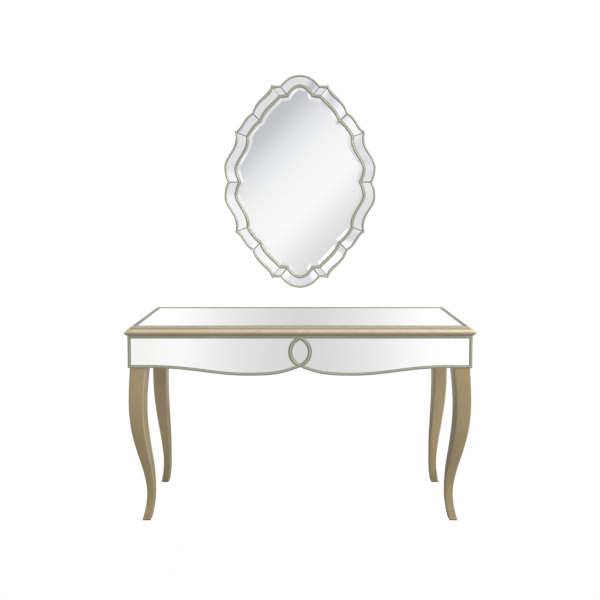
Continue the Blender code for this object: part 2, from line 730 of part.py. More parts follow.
def make_border_glass():
    """One bent strip of glass between each seam and the next."""
    outer_edge = outline(OUTER, OUTER_RIM_WIDTH + JOINT)
    inner_edge = outline(INNER, -JOINT)
    seams = seam_places(OUTER)
    count = len(outer_edge)
    # The strip's back follows the board's slope, from its outer edge to the inner rim.
    rise_start = BORDER_EDGE + GAP
    rise_end = BORDER_EDGE + BORDER_RISE + GAP
    for name, first, last in zip(border_names(), seams, seams[1:] + [seams[0] + count]):
        sections = []
        for i in range(first, last + 1):
            a, b = Vector(outer_edge[i % count]), Vector(inner_edge[i % count])
            if i in (first, last):
                near = (i + (1 if i == first else -1)) % count
                along = (Vector(outer_edge[near]) - a).normalized() * SEAM / 2
                a, b = a + along, b + along
            quad = [(a, rise_start), (b, rise_end), (b, rise_end + GLASS), (a, rise_start + GLASS)]
            sections.append([(p.x, BOARD_BACK - h, MIRROR_CENTRE + p.y) for p, h in quad])
        add(loft(name, sections), mirror)


# ---- hangers and bumpers ----
def eye_centre():
    """Distance of the eye's axis behind the board."""
    return GAP + STRAP + EYE_CLEARANCE + WIRE_RADIUS


def strap_outline():
    """Side view of the strap, (distance behind the board, height): a plate that ends in a rolled eye."""
    inside = WIRE_RADIUS + EYE_CLEARANCE
    outside = inside + STRAP
    centre = (eye_centre(), 0.0)
    outer = arc(centre, outside, 180, -140, 14)
    inner = arc(centre, inside, -140, 180, 14)
    return [(GAP, -STRAP_LENGTH), *outer, *inner, (GAP + STRAP, -STRAP_LENGTH)]


def ring_path():
    """Front view of the ring: a bar through the eye and a bow below it."""
    width, corner = RING_HALF_WIDTH, 0.004
    bow = arc((0.0, -RING_DROP + width), width, 0, -180, 12)
    return [(-width + corner, 0.0), (width - corner, 0.0), (width - 0.001, -0.0013), *bow, (-width + 0.001, -0.0013)]


def make_hangers():
    axis_y = BOARD_BACK + eye_centre()
    axis_z = MIRROR_CENTRE + HANGER_RISE
    for side, word in ((-1, "left"), (1, "right")):
        strap = flat_curve(f"{word}_strap", strap_outline(), STRAP_WIDTH)
        # The outline's x becomes the distance behind the board, its y the height.
        strap.matrix_world = (
            Matrix.Translation((side * HANGER_X, BOARD_BACK, axis_z))
            @ Matrix.Rotation(math.pi / 2, 4, "Z")
            @ Matrix.Rotation(math.pi / 2, 4, "X")
        )
        add(meshed(strap), steel)
        wire = bpy.data.curves.new(f"{word}_ring", "CURVE")
        wire.dimensions = "3D"
        wire.bevel_depth = WIRE_RADIUS
        wire.bevel_resolution = 2
        spline = wire.splines.new("POLY")
        path = ring_path()
        spline.points.add(len(path) - 1)
        for point, (x, z) in zip(spline.points, path):
            point.co = (x, 0, z, 1)
        spline.use_cyclic_u = True
        bow = bpy.data.objects.new(f"{word}_ring", wire)
        bow.location = (side * HANGER_X, axis_y, axis_z)
        add(bow, steel)


def make_bumpers():
    for side, word in ((-1, "left"), (1, "right")):
        bm = bmesh.new()
        bmesh.ops.create_cone(
            bm, cap_ends=True, segments=20, radius1=BUMPER_RADIUS, radius2=BUMPER_RADIUS, depth=BUMPER
        )
        bumper = object_from(f"{word}_bumper", bm)
        middle = (side * BUMPER_X, WALL - BUMPER / 2, MIRROR_CENTRE - BUMPER_DROP)
        bumper.matrix_world = Matrix.Translation(middle) @ Matrix.Rotation(math.pi / 2, 4, "X")
        add(bumper, rubber)


clear_scene()
parts = new_collection("vanity_table_with_mirror")
cutters = new_collection("cutters")
champagne = new_material("champagne_lacquer", (0.40, 0.33, 0.22), 0.38, 0.55)
mirror = new_material("mirror_glass", (0.90, 0.92, 0.92), 0.03, 1.0)
fibreboard = new_material("painted_fibreboard", (0.06, 0.055, 0.05), 0.7)
steel = new_material("zinc_plated_steel", (0.55, 0.55, 0.53), 0.35, 1.0)
rubber = new_material("rubber", (0.05, 0.05, 0.05), 0.8)

make_top()
make_aprons()
glass_cutters, trim_cutters = make_ribbons()
make_straight_trims(*trim_cutters)
make_front_glass(*glass_cutters)
make_end_panels()
make_legs()
make_brackets()
make_board()
make_rim("outer_rim", OUTER, 0.0, OUTER_RIM_WIDTH, 0.0, OUTER_RIM_DEPTH)
make_rim("inner_rim", INNER, GAP, INNER_RIM_WIDTH, BOARD + GAP, INNER_RIM_FRONT)
make_centre_glass()
make_border_glass()
make_hangers()
make_bumpers()
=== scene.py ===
# %% [markdown]
# # A mirrored vanity table and its wall mirror
# The table is a champagne-lacquered frame with sheets of mirror let into it, on four curved legs. A
# scalloped mirror hangs on the wall above it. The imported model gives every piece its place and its
# size. This script makes the pieces that show again, finely, and gives everything its finish.

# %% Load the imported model
import json
import math

import bmesh
import bpy
from mathutils import Matrix, Vector
from mathutils.geometry import interpolate_bezier

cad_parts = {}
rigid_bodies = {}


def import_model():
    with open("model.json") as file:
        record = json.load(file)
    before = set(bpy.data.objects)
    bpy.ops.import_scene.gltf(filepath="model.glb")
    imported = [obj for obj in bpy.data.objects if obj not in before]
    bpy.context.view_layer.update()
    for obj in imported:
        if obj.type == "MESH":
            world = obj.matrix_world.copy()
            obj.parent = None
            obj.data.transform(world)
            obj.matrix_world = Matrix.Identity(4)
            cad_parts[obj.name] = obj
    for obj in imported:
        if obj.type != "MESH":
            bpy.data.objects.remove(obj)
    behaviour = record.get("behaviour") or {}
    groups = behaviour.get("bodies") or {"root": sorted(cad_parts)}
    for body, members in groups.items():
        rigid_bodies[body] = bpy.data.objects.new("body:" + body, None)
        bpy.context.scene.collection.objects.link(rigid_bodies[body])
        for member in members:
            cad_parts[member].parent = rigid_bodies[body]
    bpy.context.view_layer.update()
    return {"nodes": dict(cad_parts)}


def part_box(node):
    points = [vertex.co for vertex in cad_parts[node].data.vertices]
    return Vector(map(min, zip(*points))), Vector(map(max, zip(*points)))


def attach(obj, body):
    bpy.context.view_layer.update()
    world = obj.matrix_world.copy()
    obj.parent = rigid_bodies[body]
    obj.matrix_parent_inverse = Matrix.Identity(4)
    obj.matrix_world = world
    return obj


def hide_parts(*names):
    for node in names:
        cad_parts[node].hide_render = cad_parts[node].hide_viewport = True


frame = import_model()
print("pieces in the packed model:", len(frame["nodes"]))

# %% [markdown]
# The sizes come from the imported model's boxes wherever a box can give them. The rest are the joiner's
# own numbers: how wide each strip is, and how far each curve swings.

# %% Sizes of the table
GAP = 0.0003  # between pieces that touch
JOINT = 0.0004  # between a sheet of glass and the trim round it
NOSE_RADIUS, COVE_WIDTH, LAND_WIDTH, COVE_DROP = 0.0122, 0.0068, 0.0070, 0.0076
LEDGE_WIDTH, TOP_PANEL, GLASS, GLASS_SUNK = 0.010, 0.016, 0.004, 0.0005
OVERHANG, TRIM, APRON_BOARD = 0.0088, 0.006, 0.015
TOP_TRIM, END_TRIM, LOWER_TRIM, RIBBON = 0.0117, 0.013, 0.012, 0.016
TABLE_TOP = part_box("front_moulding")[1].z
TABLE_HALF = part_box("right_moulding")[1].x
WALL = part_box("back_moulding")[1].y
TRIM_HALF_WIDTH, TRIM_HALF_DEPTH = TABLE_HALF - OVERHANG, WALL - OVERHANG
low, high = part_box("front_apron")
APRON_TOP, BOARD_HALF_WIDTH = high.z, high.x
APRON_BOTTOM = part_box("back_apron")[0].z
print(f"table {2 * TABLE_HALF:.3f} wide, apron from {APRON_BOTTOM:.4f} to {APRON_TOP:.4f}")

# %% Sizes of the wall mirror
OUTER_RIM, INNER_RIM, OUTER_RIM_FRONT, INNER_RIM_FRONT = 0.0085, 0.013, 0.018, 0.022
BOARD, BORDER_EDGE, BORDER_RISE = 0.012, 0.010, 0.005
CENTRE_GLASS, CENTRE_EDGE, CENTRE_BEVEL, SEAM = 0.005, 0.0025, 0.014, 0.0040
low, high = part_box("outer_rim")
MIRROR_CENTRE, MIRROR_HALF_HEIGHT = (low.z + high.z) / 2, (high.z - low.z) / 2
BOARD_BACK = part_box("mirror_board")[1].y
print(f"wall mirror's middle is {MIRROR_CENTRE:.4f} above the floor")

# %% [markdown]
# ## Camera
# A camera at about the height of a standing person's chest looks almost level, so that the legs stay
# upright in its view. The lens is shifted down to take in the feet, as a view camera's is.

# %% Camera
lens = bpy.data.cameras.new("camera")
lens.lens, lens.sensor_width = 28.4, 36
lens.shift_y = -0.1348
camera = bpy.data.objects.new("camera", lens)
camera.location = (0, -2.0204, 1.286)
camera.rotation_euler = (math.radians(90 - 2.0), 0, 0)
bpy.context.scene.collection.objects.link(camera)
bpy.context.scene.camera = camera

# %% [markdown]
# ## Helpers for shader nodes
# Each finish is a small tree of nodes. `wire` adds one node, and a value given to it is either a
# number or the output of another node.

# %% Node helpers
def wire(tree, kind, settings=None, **inputs):
    """Adds a node. Input names are written with underscores; i0, i1 and so on go by position."""
    made = tree.nodes.new(kind)
    for key, value in (settings or {}).items():
        setattr(made, key, value)
    for key, value in inputs.items():
        place = int(key[1:]) if key[0] == "i" and key[1:].isdigit() else key.replace("_", " ")
        if isinstance(value, bpy.types.NodeSocket):
            tree.links.new(value, made.inputs[place])
        else:
            made.inputs[place].default_value = value
    return made


def sum_of(tree, operation, *values, clamp=False):
    settings = {"operation": operation, "use_clamp": clamp}
    return wire(tree, "ShaderNodeMath", settings, **{f"i{i}": v for i, v in enumerate(values)}).outputs[0]


def blended(tree, share, first, second, kind="MIX"):
    settings = {"data_type": "RGBA", "blend_type": kind}
    made = wire(tree, "ShaderNodeMix", settings, i0=share, i6=first, i7=second)
    return made.outputs[2]


def between(tree, value, start, end, low=0.0, high=1.0):
    """Carries a value smoothly from one range to another."""
    settings = {"interpolation_type": "SMOOTHSTEP"}
    made = wire(tree, "ShaderNodeMapRange", settings, i0=value, i1=start, i2=end, i3=low, i4=high)
    return made.outputs[0]


def steps_of(tree, value, stops):
    """A colour ramp through (place, grey or colour) stops, which are laid in order."""
    ramp = wire(tree, "ShaderNodeValToRGB", i0=value)
    parts = ramp.color_ramp.elements
    for i, (place, tone) in enumerate(stops):
        part = parts[i] if i < 2 else parts.new(place)
        part.position = place
        part.color = (*tone, 1) if isinstance(tone, tuple) else (tone, tone, tone, 1)
    return ramp.outputs[0]


def cloud(tree, where, scale, detail=2.0, roughness=0.5):
    made = wire(tree, "ShaderNodeTexNoise", None, Vector=where, Scale=scale, Detail=detail, Roughness=roughness)
    return made.outputs[0]

# %% [markdown]
# ## Light
# Mirror is only as good as what it sees. The room is a pale studio: behind the camera it darkens
# softly towards the upper left, which gives the wall mirror its slanting sheen, and low down it has a
# grey pool that the apron's panes show. Painted wood is lit by the same room, brighter from the right
# and from above, so that the legs show their edges. No mirror sees anything
# darker than mid grey in it.

# %% The room
world = bpy.data.worlds.new("studio")
bpy.context.scene.world = world
world.use_nodes = True
room = world.node_tree
room.nodes.clear()
look = wire(room, "ShaderNodeTexCoord").outputs["Generated"]
EVEN, RIGHTWARD, UPWARD = 0.30, 0.52, 0.72  # how the soft light falls on paint
away = wire(room, "ShaderNodeSeparateXYZ", i0=look)
depth = sum_of(room, "MAXIMUM", sum_of(room, "ABSOLUTE", away.outputs[1]), 0.08)
side = sum_of(room, "DIVIDE", away.outputs[0], depth)
lift = sum_of(room, "DIVIDE", away.outputs[2], depth)
slant = sum_of(room, "SUBTRACT", side, lift)
SHEEN = (
    (-0.90, 1.0), (-0.84, 0.95), (-0.78, 0.76), (-0.60, (0.78, 0.785, 0.79)), (-0.50, (0.80, 0.805, 0.815)),
    (-0.40, (0.75, 0.755, 0.765)), (-0.31, (0.62, 0.63, 0.65)), (-0.27, (0.55, 0.565, 0.59)),
    (-0.246, (0.55, 0.565, 0.59)), (-0.217, (0.575, 0.59, 0.61)),
    (-0.189, (0.665, 0.675, 0.70)), (-0.162, (0.77, 0.78, 0.805)), (-0.134, (0.825, 0.835, 0.86)),
    (-0.107, (0.89, 0.895, 0.905)), (-0.079, 0.925), (-0.037, 0.96), (0.0, 0.98), (0.022, 0.98),
    (0.047, 0.945), (0.075, 0.905), (0.102, 0.84), (0.132, 0.79), (0.160, 0.74),
    (0.22, 0.78), (0.32, 0.87), (0.42, 0.79),
    (0.50, 0.79), (0.60, 0.75),
)  # fmt: skip
POOL = ((0.0, 0.69), (0.055, 0.73), (0.115, 0.785), (0.165, 0.85), (0.21, 0.92), (0.258, 0.99), (0.31, 1.06))
sheen_place = wire(room, "ShaderNodeMapRange", None, i0=slant, i1=-0.90, i2=0.60).outputs[0]
sheen = steps_of(room, sheen_place, [((u + 0.90) / 1.50, tone) for u, tone in SHEEN])
pool_place = wire(room, "ShaderNodeMapRange", None, i0=sum_of(room, "ABSOLUTE", side), i1=0.0, i2=0.31).outputs[0]
pool = steps_of(room, pool_place, [(h / 0.31, tone) for h, tone in POOL])
low_band = sum_of(room, "MULTIPLY", between(room, lift, -0.255, -0.29), between(room, lift, -0.42, -0.37))
raised = sum_of(room, "SUBTRACT", 1.0, low_band)
before = between(room, away.outputs[1], 0.02, -0.02)
mirrored = blended(room, sum_of(room, "MULTIPLY", raised, before), pool, sheen)
left_low = sum_of(room, "MULTIPLY", between(room, lift, 0.07, 0.0), between(room, side, -0.24, -0.34))
mirrored = blended(room, left_low, mirrored, (0.93, 0.925, 0.915, 1))
ahead = between(room, sum_of(room, "ABSOLUTE", side), 0.95, 0.55)
level = between(room, sum_of(room, "ABSOLUTE", lift), 1.15, 0.75)
from_right = sum_of(room, "MULTIPLY", away.outputs[0], RIGHTWARD)
from_above = sum_of(room, "MULTIPLY", away.outputs[2], UPWARD)
rays = wire(room, "ShaderNodeLightPath")
least = between(room, rays.outputs["Is Glossy Ray"], 0.0, 1.0, 0.03, 0.55)
soft = sum_of(room, "MAXIMUM", sum_of(room, "ADD", sum_of(room, "ADD", from_right, from_above), EVEN), least)
not_paint = sum_of(room, "SUBTRACT", 1.0, rays.outputs["Is Diffuse Ray"])
near = sum_of(room, "MULTIPLY", sum_of(room, "MULTIPLY", ahead, level), not_paint)
seen = blended(room, near, soft, mirrored)
seen = blended(room, rays.outputs["Is Camera Ray"], seen, (1.02, 1.02, 1.02, 1))
background = wire(room, "ShaderNodeBackground", None, Color=seen, Strength=1.0)
wire(room, "ShaderNodeOutputWorld", None, Surface=background.outputs[0])
bpy.context.scene.view_settings.view_transform = "Standard"

# %% [markdown]
# The floor is a round sheet of white paper that fades into the room before its edge, so no view
# shows where it stops. Seen from below it is clear, so the underside can be looked at.

# %% The floor
FLOOR_FADE_START, FLOOR_FADE_END = 0.90, 1.50
paper = bpy.data.materials.new("white_paper")
paper.use_nodes = True
tree = paper.node_tree
tree.nodes.clear()
spot = wire(tree, "ShaderNodeTexCoord").outputs["Object"]
reach = wire(tree, "ShaderNodeVectorMath", {"operation": "LENGTH"}, i0=spot).outputs[1]
fade = between(tree, reach, FLOOR_FADE_START, FLOOR_FADE_END)
grain = blended(tree, cloud(tree, spot, 60), (0.40, 0.40, 0.39, 1), (0.46, 0.455, 0.445, 1))
matt = wire(tree, "ShaderNodeBsdfDiffuse", None, Color=grain)
glow = wire(tree, "ShaderNodeEmission", None, Color=(1, 1, 1, 1), Strength=1.0)
path = wire(tree, "ShaderNodeLightPath")
both = wire(tree, "ShaderNodeMixShader", None, i0=path.outputs["Is Camera Ray"], i1=matt.outputs[0], i2=glow.outputs[0])
clear = wire(tree, "ShaderNodeBsdfTransparent")
below = wire(tree, "ShaderNodeNewGeometry").outputs["Backfacing"]
fade = sum_of(tree, "MAXIMUM", fade, below)
faded = wire(tree, "ShaderNodeMixShader", None, i0=fade, i1=both.outputs[0], i2=clear.outputs[0])
wire(tree, "ShaderNodeOutputMaterial", None, Surface=faded.outputs[0])
bm = bmesh.new()
bmesh.ops.create_circle(bm, cap_ends=True, segments=96, radius=FLOOR_FADE_END + 0.1)
sheet = bpy.data.meshes.new("floor")
bm.to_mesh(sheet)
bm.free()
sheet.materials.append(paper)
floor = bpy.data.objects.new("floor", sheet)
bpy.context.scene.collection.objects.link(floor)

# %% [markdown]
# Two large soft lamps give the lacquer its form: the main one high on the right in front, a weak one
# on the left. The weak one is kept out of the mirrors, as a studio would flag it off.

# %% Lamps
def soft_lamp(name, place, target, size, watts, in_mirrors):
    light = bpy.data.lights.new(name, "AREA")
    light.shape, light.size, light.energy = "DISK", size, watts
    lamp = bpy.data.objects.new(name, light)
    lamp.location = place
    lamp.rotation_euler = (Vector(target) - Vector(place)).to_track_quat("-Z", "Y").to_euler()
    lamp.visible_glossy = in_mirrors
    bpy.context.scene.collection.objects.link(lamp)
    return lamp


soft_lamp("main_lamp", (2.8, -1.5, 2.9), (0, 0, 0.7), 1.6, 62, True)
soft_lamp("fill_lamp", (-1.2, -3.0, 1.6), (0, 0, 0.5), 2.0, 5, False)

# %% [markdown]
# ## Champagne lacquer
# A warm metallic paint: fine metal flakes in a clear binder, sprayed over wood. It clouds a little
# from stroke to stroke. Its grooves and hollows are darkened, partly as glaze and partly as painted
# shade, and its edges and crests are lighter, partly as rubbed wear and partly as painted highlight.
# Each piece carries two marks on its points, one for each of these, and the lacquer reads them.

# %% Champagne lacquer
def new_finish(name):
    made = bpy.data.materials.new(name)
    made.use_nodes = True
    return made, made.node_tree, made.node_tree.nodes["Principled BSDF"]


def put(tree, shader, **inputs):
    for key, value in inputs.items():
        socket = shader.inputs[key.replace("_", " ")]
        if isinstance(value, bpy.types.NodeSocket):
            tree.links.new(value, socket)
        else:
            socket.default_value = value


def lacquer(name, light_tone, dark_tone, glaze_and_shade_tone, rub_and_highlight_tone, metal):
    made, tree, shader = new_finish(name)
    spot = wire(tree, "ShaderNodeTexCoord").outputs["Object"]
    strokes = cloud(tree, spot, 5.0, 3.0, 0.55)
    flakes = cloud(tree, spot, 1400.0, 1.0)
    tone = blended(tree, between(tree, strokes, 0.30, 0.72), dark_tone, light_tone)
    tone = blended(tree, between(tree, flakes, 0.55, 0.78, 0.0, 0.25), tone, rub_and_highlight_tone)
    glaze_and_shade = wire(tree, "ShaderNodeAttribute", {"attribute_name": "glaze_and_shade"}).outputs["Fac"]
    rub_and_highlight = wire(tree, "ShaderNodeAttribute", {"attribute_name": "rub_and_highlight"}).outputs["Fac"]
    patchy = between(tree, cloud(tree, spot, 22.0, 2.0), 0.30, 0.65, 0.85, 1.0)
    rub_and_highlight_breakup = between(tree, cloud(tree, spot, 30.0, 3.0), 0.32, 0.66, 0.55, 1.0)
    # Glaze and painted shade: the first mark darkens grooves, hollows, the nose's underside and the feet. Wear and
    # painted highlight: the second lightens edges and crests.
    tone = blended(tree, sum_of(tree, "MULTIPLY", glaze_and_shade, patchy, clamp=True), tone, glaze_and_shade_tone)
    tone = blended(tree, sum_of(tree, "MULTIPLY", rub_and_highlight, rub_and_highlight_breakup, clamp=True), tone, rub_and_highlight_tone)
    rough = between(tree, strokes, 0.3, 0.7, 0.31, 0.38)
    rough = sum_of(tree, "ADD", rough, sum_of(tree, "MULTIPLY", glaze_and_shade, 0.22))
    spray = wire(tree, "ShaderNodeBump", None, Strength=0.06, Distance=0.0003, Height=cloud(tree, spot, 420.0, 3.0))
    put(tree, shader, Base_Color=tone, Roughness=rough, Metallic=metal, Normal=spray.outputs[0])
    return made

# %% The four lacquers: light tone, dark tone, glaze and painted shade, rubbed tone and painted highlight, share of metal
champagne = lacquer(
    "champagne_lacquer",
    (0.60, 0.49, 0.31, 1), (0.55, 0.445, 0.275, 1), (0.19, 0.165, 0.10, 1), (0.92, 0.84, 0.66, 1), 0.25,
)  # fmt: skip
# The legs' lacquer is the same champagne made darker and warmer: painted shade on the legs.
shaded_leg_champagne = lacquer(
    "champagne_lacquer_legs_shaded",
    (0.505, 0.395, 0.215, 1), (0.455, 0.35, 0.19, 1), (0.13, 0.11, 0.06, 1), (0.80, 0.70, 0.52, 1), 0.25,
)  # fmt: skip
silvered = lacquer(
    "olive_champagne_lacquer",
    (0.50, 0.505, 0.385, 1), (0.43, 0.44, 0.335, 1), (0.17, 0.175, 0.125, 1), (0.72, 0.71, 0.60, 1), 0.25,
)  # fmt: skip
# The rims' lacquer is the olive champagne made lighter: painted light on the rims of the wall mirror.
lit_rim_silver = lacquer(
    "olive_champagne_lacquer_rims_lit",
    (0.62, 0.61, 0.50, 1), (0.56, 0.55, 0.45, 1), (0.26, 0.25, 0.19, 1), (0.80, 0.78, 0.68, 1), 0.30,
)  # fmt: skip
print("lacquers:", *[made.name for made in (champagne, shaded_leg_champagne, silvered, lit_rim_silver)])

# %% [markdown]
# ## Mirror
# Silver behind clear glass reflects nearly everything, very slightly cool. Dust and wiping leave it a
# trace of haze. The ground edge of each sheet is a pale grey-green. The shallow bevel round the
# table's top is painted a duller grey, a painted reflection of the dark bed it lies on, so each has a finish of its
# own.

# %% Mirror and its ground edge
mirror, tree, shader = new_finish("mirror_glass")
spot = wire(tree, "ShaderNodeTexCoord").outputs["Object"]
wipes = wire(tree, "ShaderNodeMapping", None, Vector=spot, Rotation=(0.3, 0.2, 0.6), Scale=(9, 9, 34))
haze = cloud(tree, wipes.outputs[0], 1.0, 4.0, 0.6)
tone = blended(tree, haze, (0.952, 0.958, 0.958, 1), (0.968, 0.970, 0.968, 1))
rough = between(tree, haze, 0.45, 0.75, 0.004, 0.022)
roll = wire(tree, "ShaderNodeBump", None, Strength=0.02, Distance=0.0004, Height=cloud(tree, spot, 3.0))
put(tree, shader, Base_Color=tone, Roughness=rough, Metallic=1.0, Normal=roll.outputs[0])

# Painted reflection: the bevel's dull dark grey stands in for the dark bed that it would reflect.
bevel_glass_painted_reflection, tree, shader = new_finish("bevel_glass_painted_reflection")
spot = wire(tree, "ShaderNodeTexCoord").outputs["Object"]
veil = cloud(tree, spot, 26.0, 3.0)
tone = blended(tree, veil, (0.17, 0.17, 0.155, 1), (0.24, 0.24, 0.22, 1))
put(tree, shader, Base_Color=tone, Roughness=between(tree, veil, 0.3, 0.7, 0.22, 0.34), Metallic=0.6)

ground, tree, shader = new_finish("ground_glass_edge")
spot = wire(tree, "ShaderNodeTexCoord").outputs["Object"]
grit = cloud(tree, spot, 900.0, 2.0)
tone = blended(tree, grit, (0.40, 0.44, 0.42, 1), (0.55, 0.60, 0.57, 1))
scratch = wire(tree, "ShaderNodeBump", None, Strength=0.15, Distance=0.0002, Height=grit)
rough = between(tree, grit, 0.3, 0.7, 0.25, 0.45)
put(tree, shader, Base_Color=tone, Roughness=rough, Metallic=0.3, Normal=scratch.outputs[0])

# %% [markdown]
# ## Board, plated steel and rubber
# The backing boards are painted dark and matt, with the fibre showing through. The brackets and the
# hangers are zinc plated, which has a faint crystal pattern. The bumpers are moulded rubber.

# %% Board, steel and rubber
fibreboard, tree, shader = new_finish("painted_fibreboard")
spot = wire(tree, "ShaderNodeTexCoord").outputs["Object"]
fibre = cloud(tree, spot, 260.0, 5.0, 0.7)
patch = cloud(tree, spot, 5.0, 3.0)
tone = blended(tree, fibre, (0.040, 0.034, 0.028, 1), (0.085, 0.074, 0.060, 1))
tone = blended(tree, between(tree, patch, 0.4, 0.8, 0.0, 0.35), tone, (0.12, 0.105, 0.085, 1))
rough_grain = wire(tree, "ShaderNodeBump", None, Strength=0.3, Distance=0.0006, Height=fibre)
put(tree, shader, Base_Color=tone, Roughness=between(tree, fibre, 0.3, 0.7, 0.62, 0.85), Normal=rough_grain.outputs[0])

steel, tree, shader = new_finish("zinc_plated_steel")
spot = wire(tree, "ShaderNodeTexCoord").outputs["Object"]
crystals = wire(tree, "ShaderNodeTexVoronoi", None, Vector=spot, Scale=260.0).outputs["Color"]
tone = blended(tree, 0.16, (0.56, 0.56, 0.54, 1), crystals, "OVERLAY")
dull = cloud(tree, spot, 30.0, 3.0)
brushed = wire(tree, "ShaderNodeBump", None, Strength=0.06, Distance=0.0003, Height=cloud(tree, spot, 700.0, 2.0))
rough = between(tree, dull, 0.3, 0.7, 0.24, 0.42)
put(tree, shader, Base_Color=tone, Roughness=rough, Metallic=0.95, Normal=brushed.outputs[0])

rubber, tree, shader = new_finish("rubber")
spot = wire(tree, "ShaderNodeTexCoord").outputs["Object"]
bloom = cloud(tree, spot, 120.0, 4.0, 0.7)
tone = blended(tree, bloom, (0.028, 0.028, 0.028, 1), (0.065, 0.063, 0.060, 1))
skin = wire(tree, "ShaderNodeBump", None, Strength=0.2, Distance=0.0003, Height=bloom)
put(tree, shader, Base_Color=tone, Roughness=between(tree, bloom, 0.3, 0.7, 0.6, 0.85), Normal=skin.outputs[0])

# %% [markdown]
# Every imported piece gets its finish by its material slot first. The ones that are made again below
# are hidden as they are replaced.

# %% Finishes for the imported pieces
FINISHES = {
    "champagne_lacquer": champagne,
    "mirror_glass": mirror,
    "painted_fibreboard": fibreboard,
    "zinc_plated_steel": steel,
    "rubber": rubber,
}
for node in frame["nodes"].values():
    for place in node.material_slots:
        place.material = FINISHES[place.material.name.split(".")[0]]

# %% [markdown]
# ## Lines and sections
# Nearly every piece here is a section carried along a line: a moulding along an edge, a rim round the
# mirror, a leg along its curve. So the script needs curves to carry things along, and one function
# that carries a section along them by extruding its outline from place to place.

# %% Curves in a plane
def arc(centre, radius, start, end, steps):
    angles = [math.radians(start + (end - start) * i / steps) for i in range(steps + 1)]
    return [(centre[0] + radius * math.cos(a), centre[1] + radius * math.sin(a)) for a in angles]


def sweep(start, start_turn, end, end_turn, steps):
    """A curve from start to end. Each turn is (heading in degrees, handle length)."""
    handles = []
    for (x, y), (heading, length), sign in ((start, start_turn, 1), (end, end_turn, -1)):
        a = math.radians(heading)
        handles.append((x + sign * length * math.cos(a), y + sign * length * math.sin(a)))
    ends = [(*point, 0) for point in (start, *handles, end)]
    return [(p.x, p.y) for p in interpolate_bezier(*ends, steps + 1)]


def shifted(path, distances):
    """An open path moved to its left, by a distance for each point."""
    points = [Vector(point) for point in path]
    runs = [(b - a).normalized() for a, b in zip(points, points[1:])]
    moved = []
    for point, before, after, distance in zip(points, [runs[0], *runs], [*runs, runs[-1]], distances):
        middle = (before + after).normalized()
        reach = distance / middle.dot(before)
        moved.append((point.x - middle.y * reach, point.y + middle.x * reach))
    return moved


def flipped(points):
    """The mirror image, left for right."""
    return [(-point[0], *point[1:]) for point in points]

# %% Carrying a section along a line
def carried(stations, marks=None, row_marks=None, closed=False):
    """Extrudes the first station's outline from station to station. Marks are pairs (glaze and painted
    shade, rubbed wear and painted highlight), one for each point of the outline, or one for each station."""
    bm = bmesh.new()
    glaze_and_shade, rub_and_highlight = bm.verts.layers.float.new("glaze_and_shade"), bm.verts.layers.float.new("rub_and_highlight")
    row = [bm.verts.new(point) for point in stations[0]]
    edges = [bm.edges.new(pair) for pair in zip(row, row[1:] + row[:1])]
    rows, first_edges = [row], edges
    for station in stations[1:]:
        made = bmesh.ops.extrude_edge_only(bm, edges=edges)["geom"]
        fresh = {part for part in made if isinstance(part, bmesh.types.BMVert)}
        row = [next(e.other_vert(v) for e in v.link_edges if e.other_vert(v) in fresh) for v in row]
        edges = [bm.edges.get(pair) for pair in zip(row, row[1:] + row[:1])]
        for vert, point in zip(row, station):
            vert.co = point
        rows.append(row)
    for i, row in enumerate(rows):
        for j, vert in enumerate(row):
            own = marks[j] if marks else (0.0, 0.0)
            whole = row_marks[i] if row_marks else (0.0, 0.0)
            vert[glaze_and_shade], vert[rub_and_highlight] = max(own[0], whole[0]), max(own[1], whole[1])
    if closed:
        bmesh.ops.remove_doubles(bm, verts=rows[0] + rows[-1], dist=1e-7)
    else:
        bmesh.ops.holes_fill(bm, edges=first_edges + edges, sides=0)
    bmesh.ops.recalc_face_normals(bm, faces=bm.faces)
    return bm


def piece(name, bm, finish, body, slot, *stands_for, angle=32, edge_finish=None):
    """A finished piece: it rides on its body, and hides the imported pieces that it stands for."""
    mesh = bpy.data.meshes.new(name)
    bm.to_mesh(mesh)
    bm.free()
    mesh.shade_smooth()
    mesh.set_sharp_from_angle(angle=math.radians(angle))
    made = bpy.data.objects.new(name, mesh)
    bpy.context.scene.collection.objects.link(made)
    mesh.materials.append(finish)
    if edge_finish:
        mesh.materials.append(edge_finish)
    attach(made, body)
    if stands_for:
        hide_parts(*stands_for)
    return made


def cut_with(made, *cutters):
    """Takes the cutters away from a piece, for good."""
    for cutter in cutters:
        saw = made.modifiers.new("cut", "BOOLEAN")
        saw.operation, saw.solver, saw.object = "DIFFERENCE", "EXACT", cutter
    bpy.context.view_layer.update()
    graph = bpy.context.evaluated_depsgraph_get()
    mesh = bpy.data.meshes.new_from_object(made.evaluated_get(graph))
    made.modifiers.clear()
    old, made.data = made.data, mesh
    bpy.data.meshes.remove(old)
    made.data.shade_smooth()
    made.data.set_sharp_from_angle(angle=math.radians(32))
    return made


def set_aside(bm, name="cutter"):
    """A shape that only cuts: it is removed before the end."""
    mesh = bpy.data.meshes.new(name)
    bm.to_mesh(mesh)
    bm.free()
    made = bpy.data.objects.new(name, mesh)
    bpy.context.scene.collection.objects.link(made)
    made.hide_render = True
    return made

# %% [markdown]
# ## Top moulding
# A rail is planed to one section: a flat land beside the glass, a cove, a half-round nose and a
# rabbet for the panel. Four rails meet in mitres. Each is one section extruded from mitre to mitre,
# which keeps the mitres exact, with a hairline left open between them as on the real joint.

# %% The moulding's section
MOULDING_WIDTH = NOSE_RADIUS + COVE_WIDTH + LAND_WIDTH
NOSE_TOP = TABLE_TOP - COVE_DROP
NOSE_MIDDLE = NOSE_TOP - NOSE_RADIUS
LEDGE = TABLE_TOP - GLASS_SUNK - GLASS - GAP - TOP_PANEL - GAP
# PLAIN has no marks, DARK darkens the joint by the glass, and the third lightens an edge, as rubbed wear and as a
# painted highlight.
PLAIN, DARK, WORN_AND_HIGHLIGHT = (0.0, 0.0), (1.0, 0.0), (0.0, 0.8)


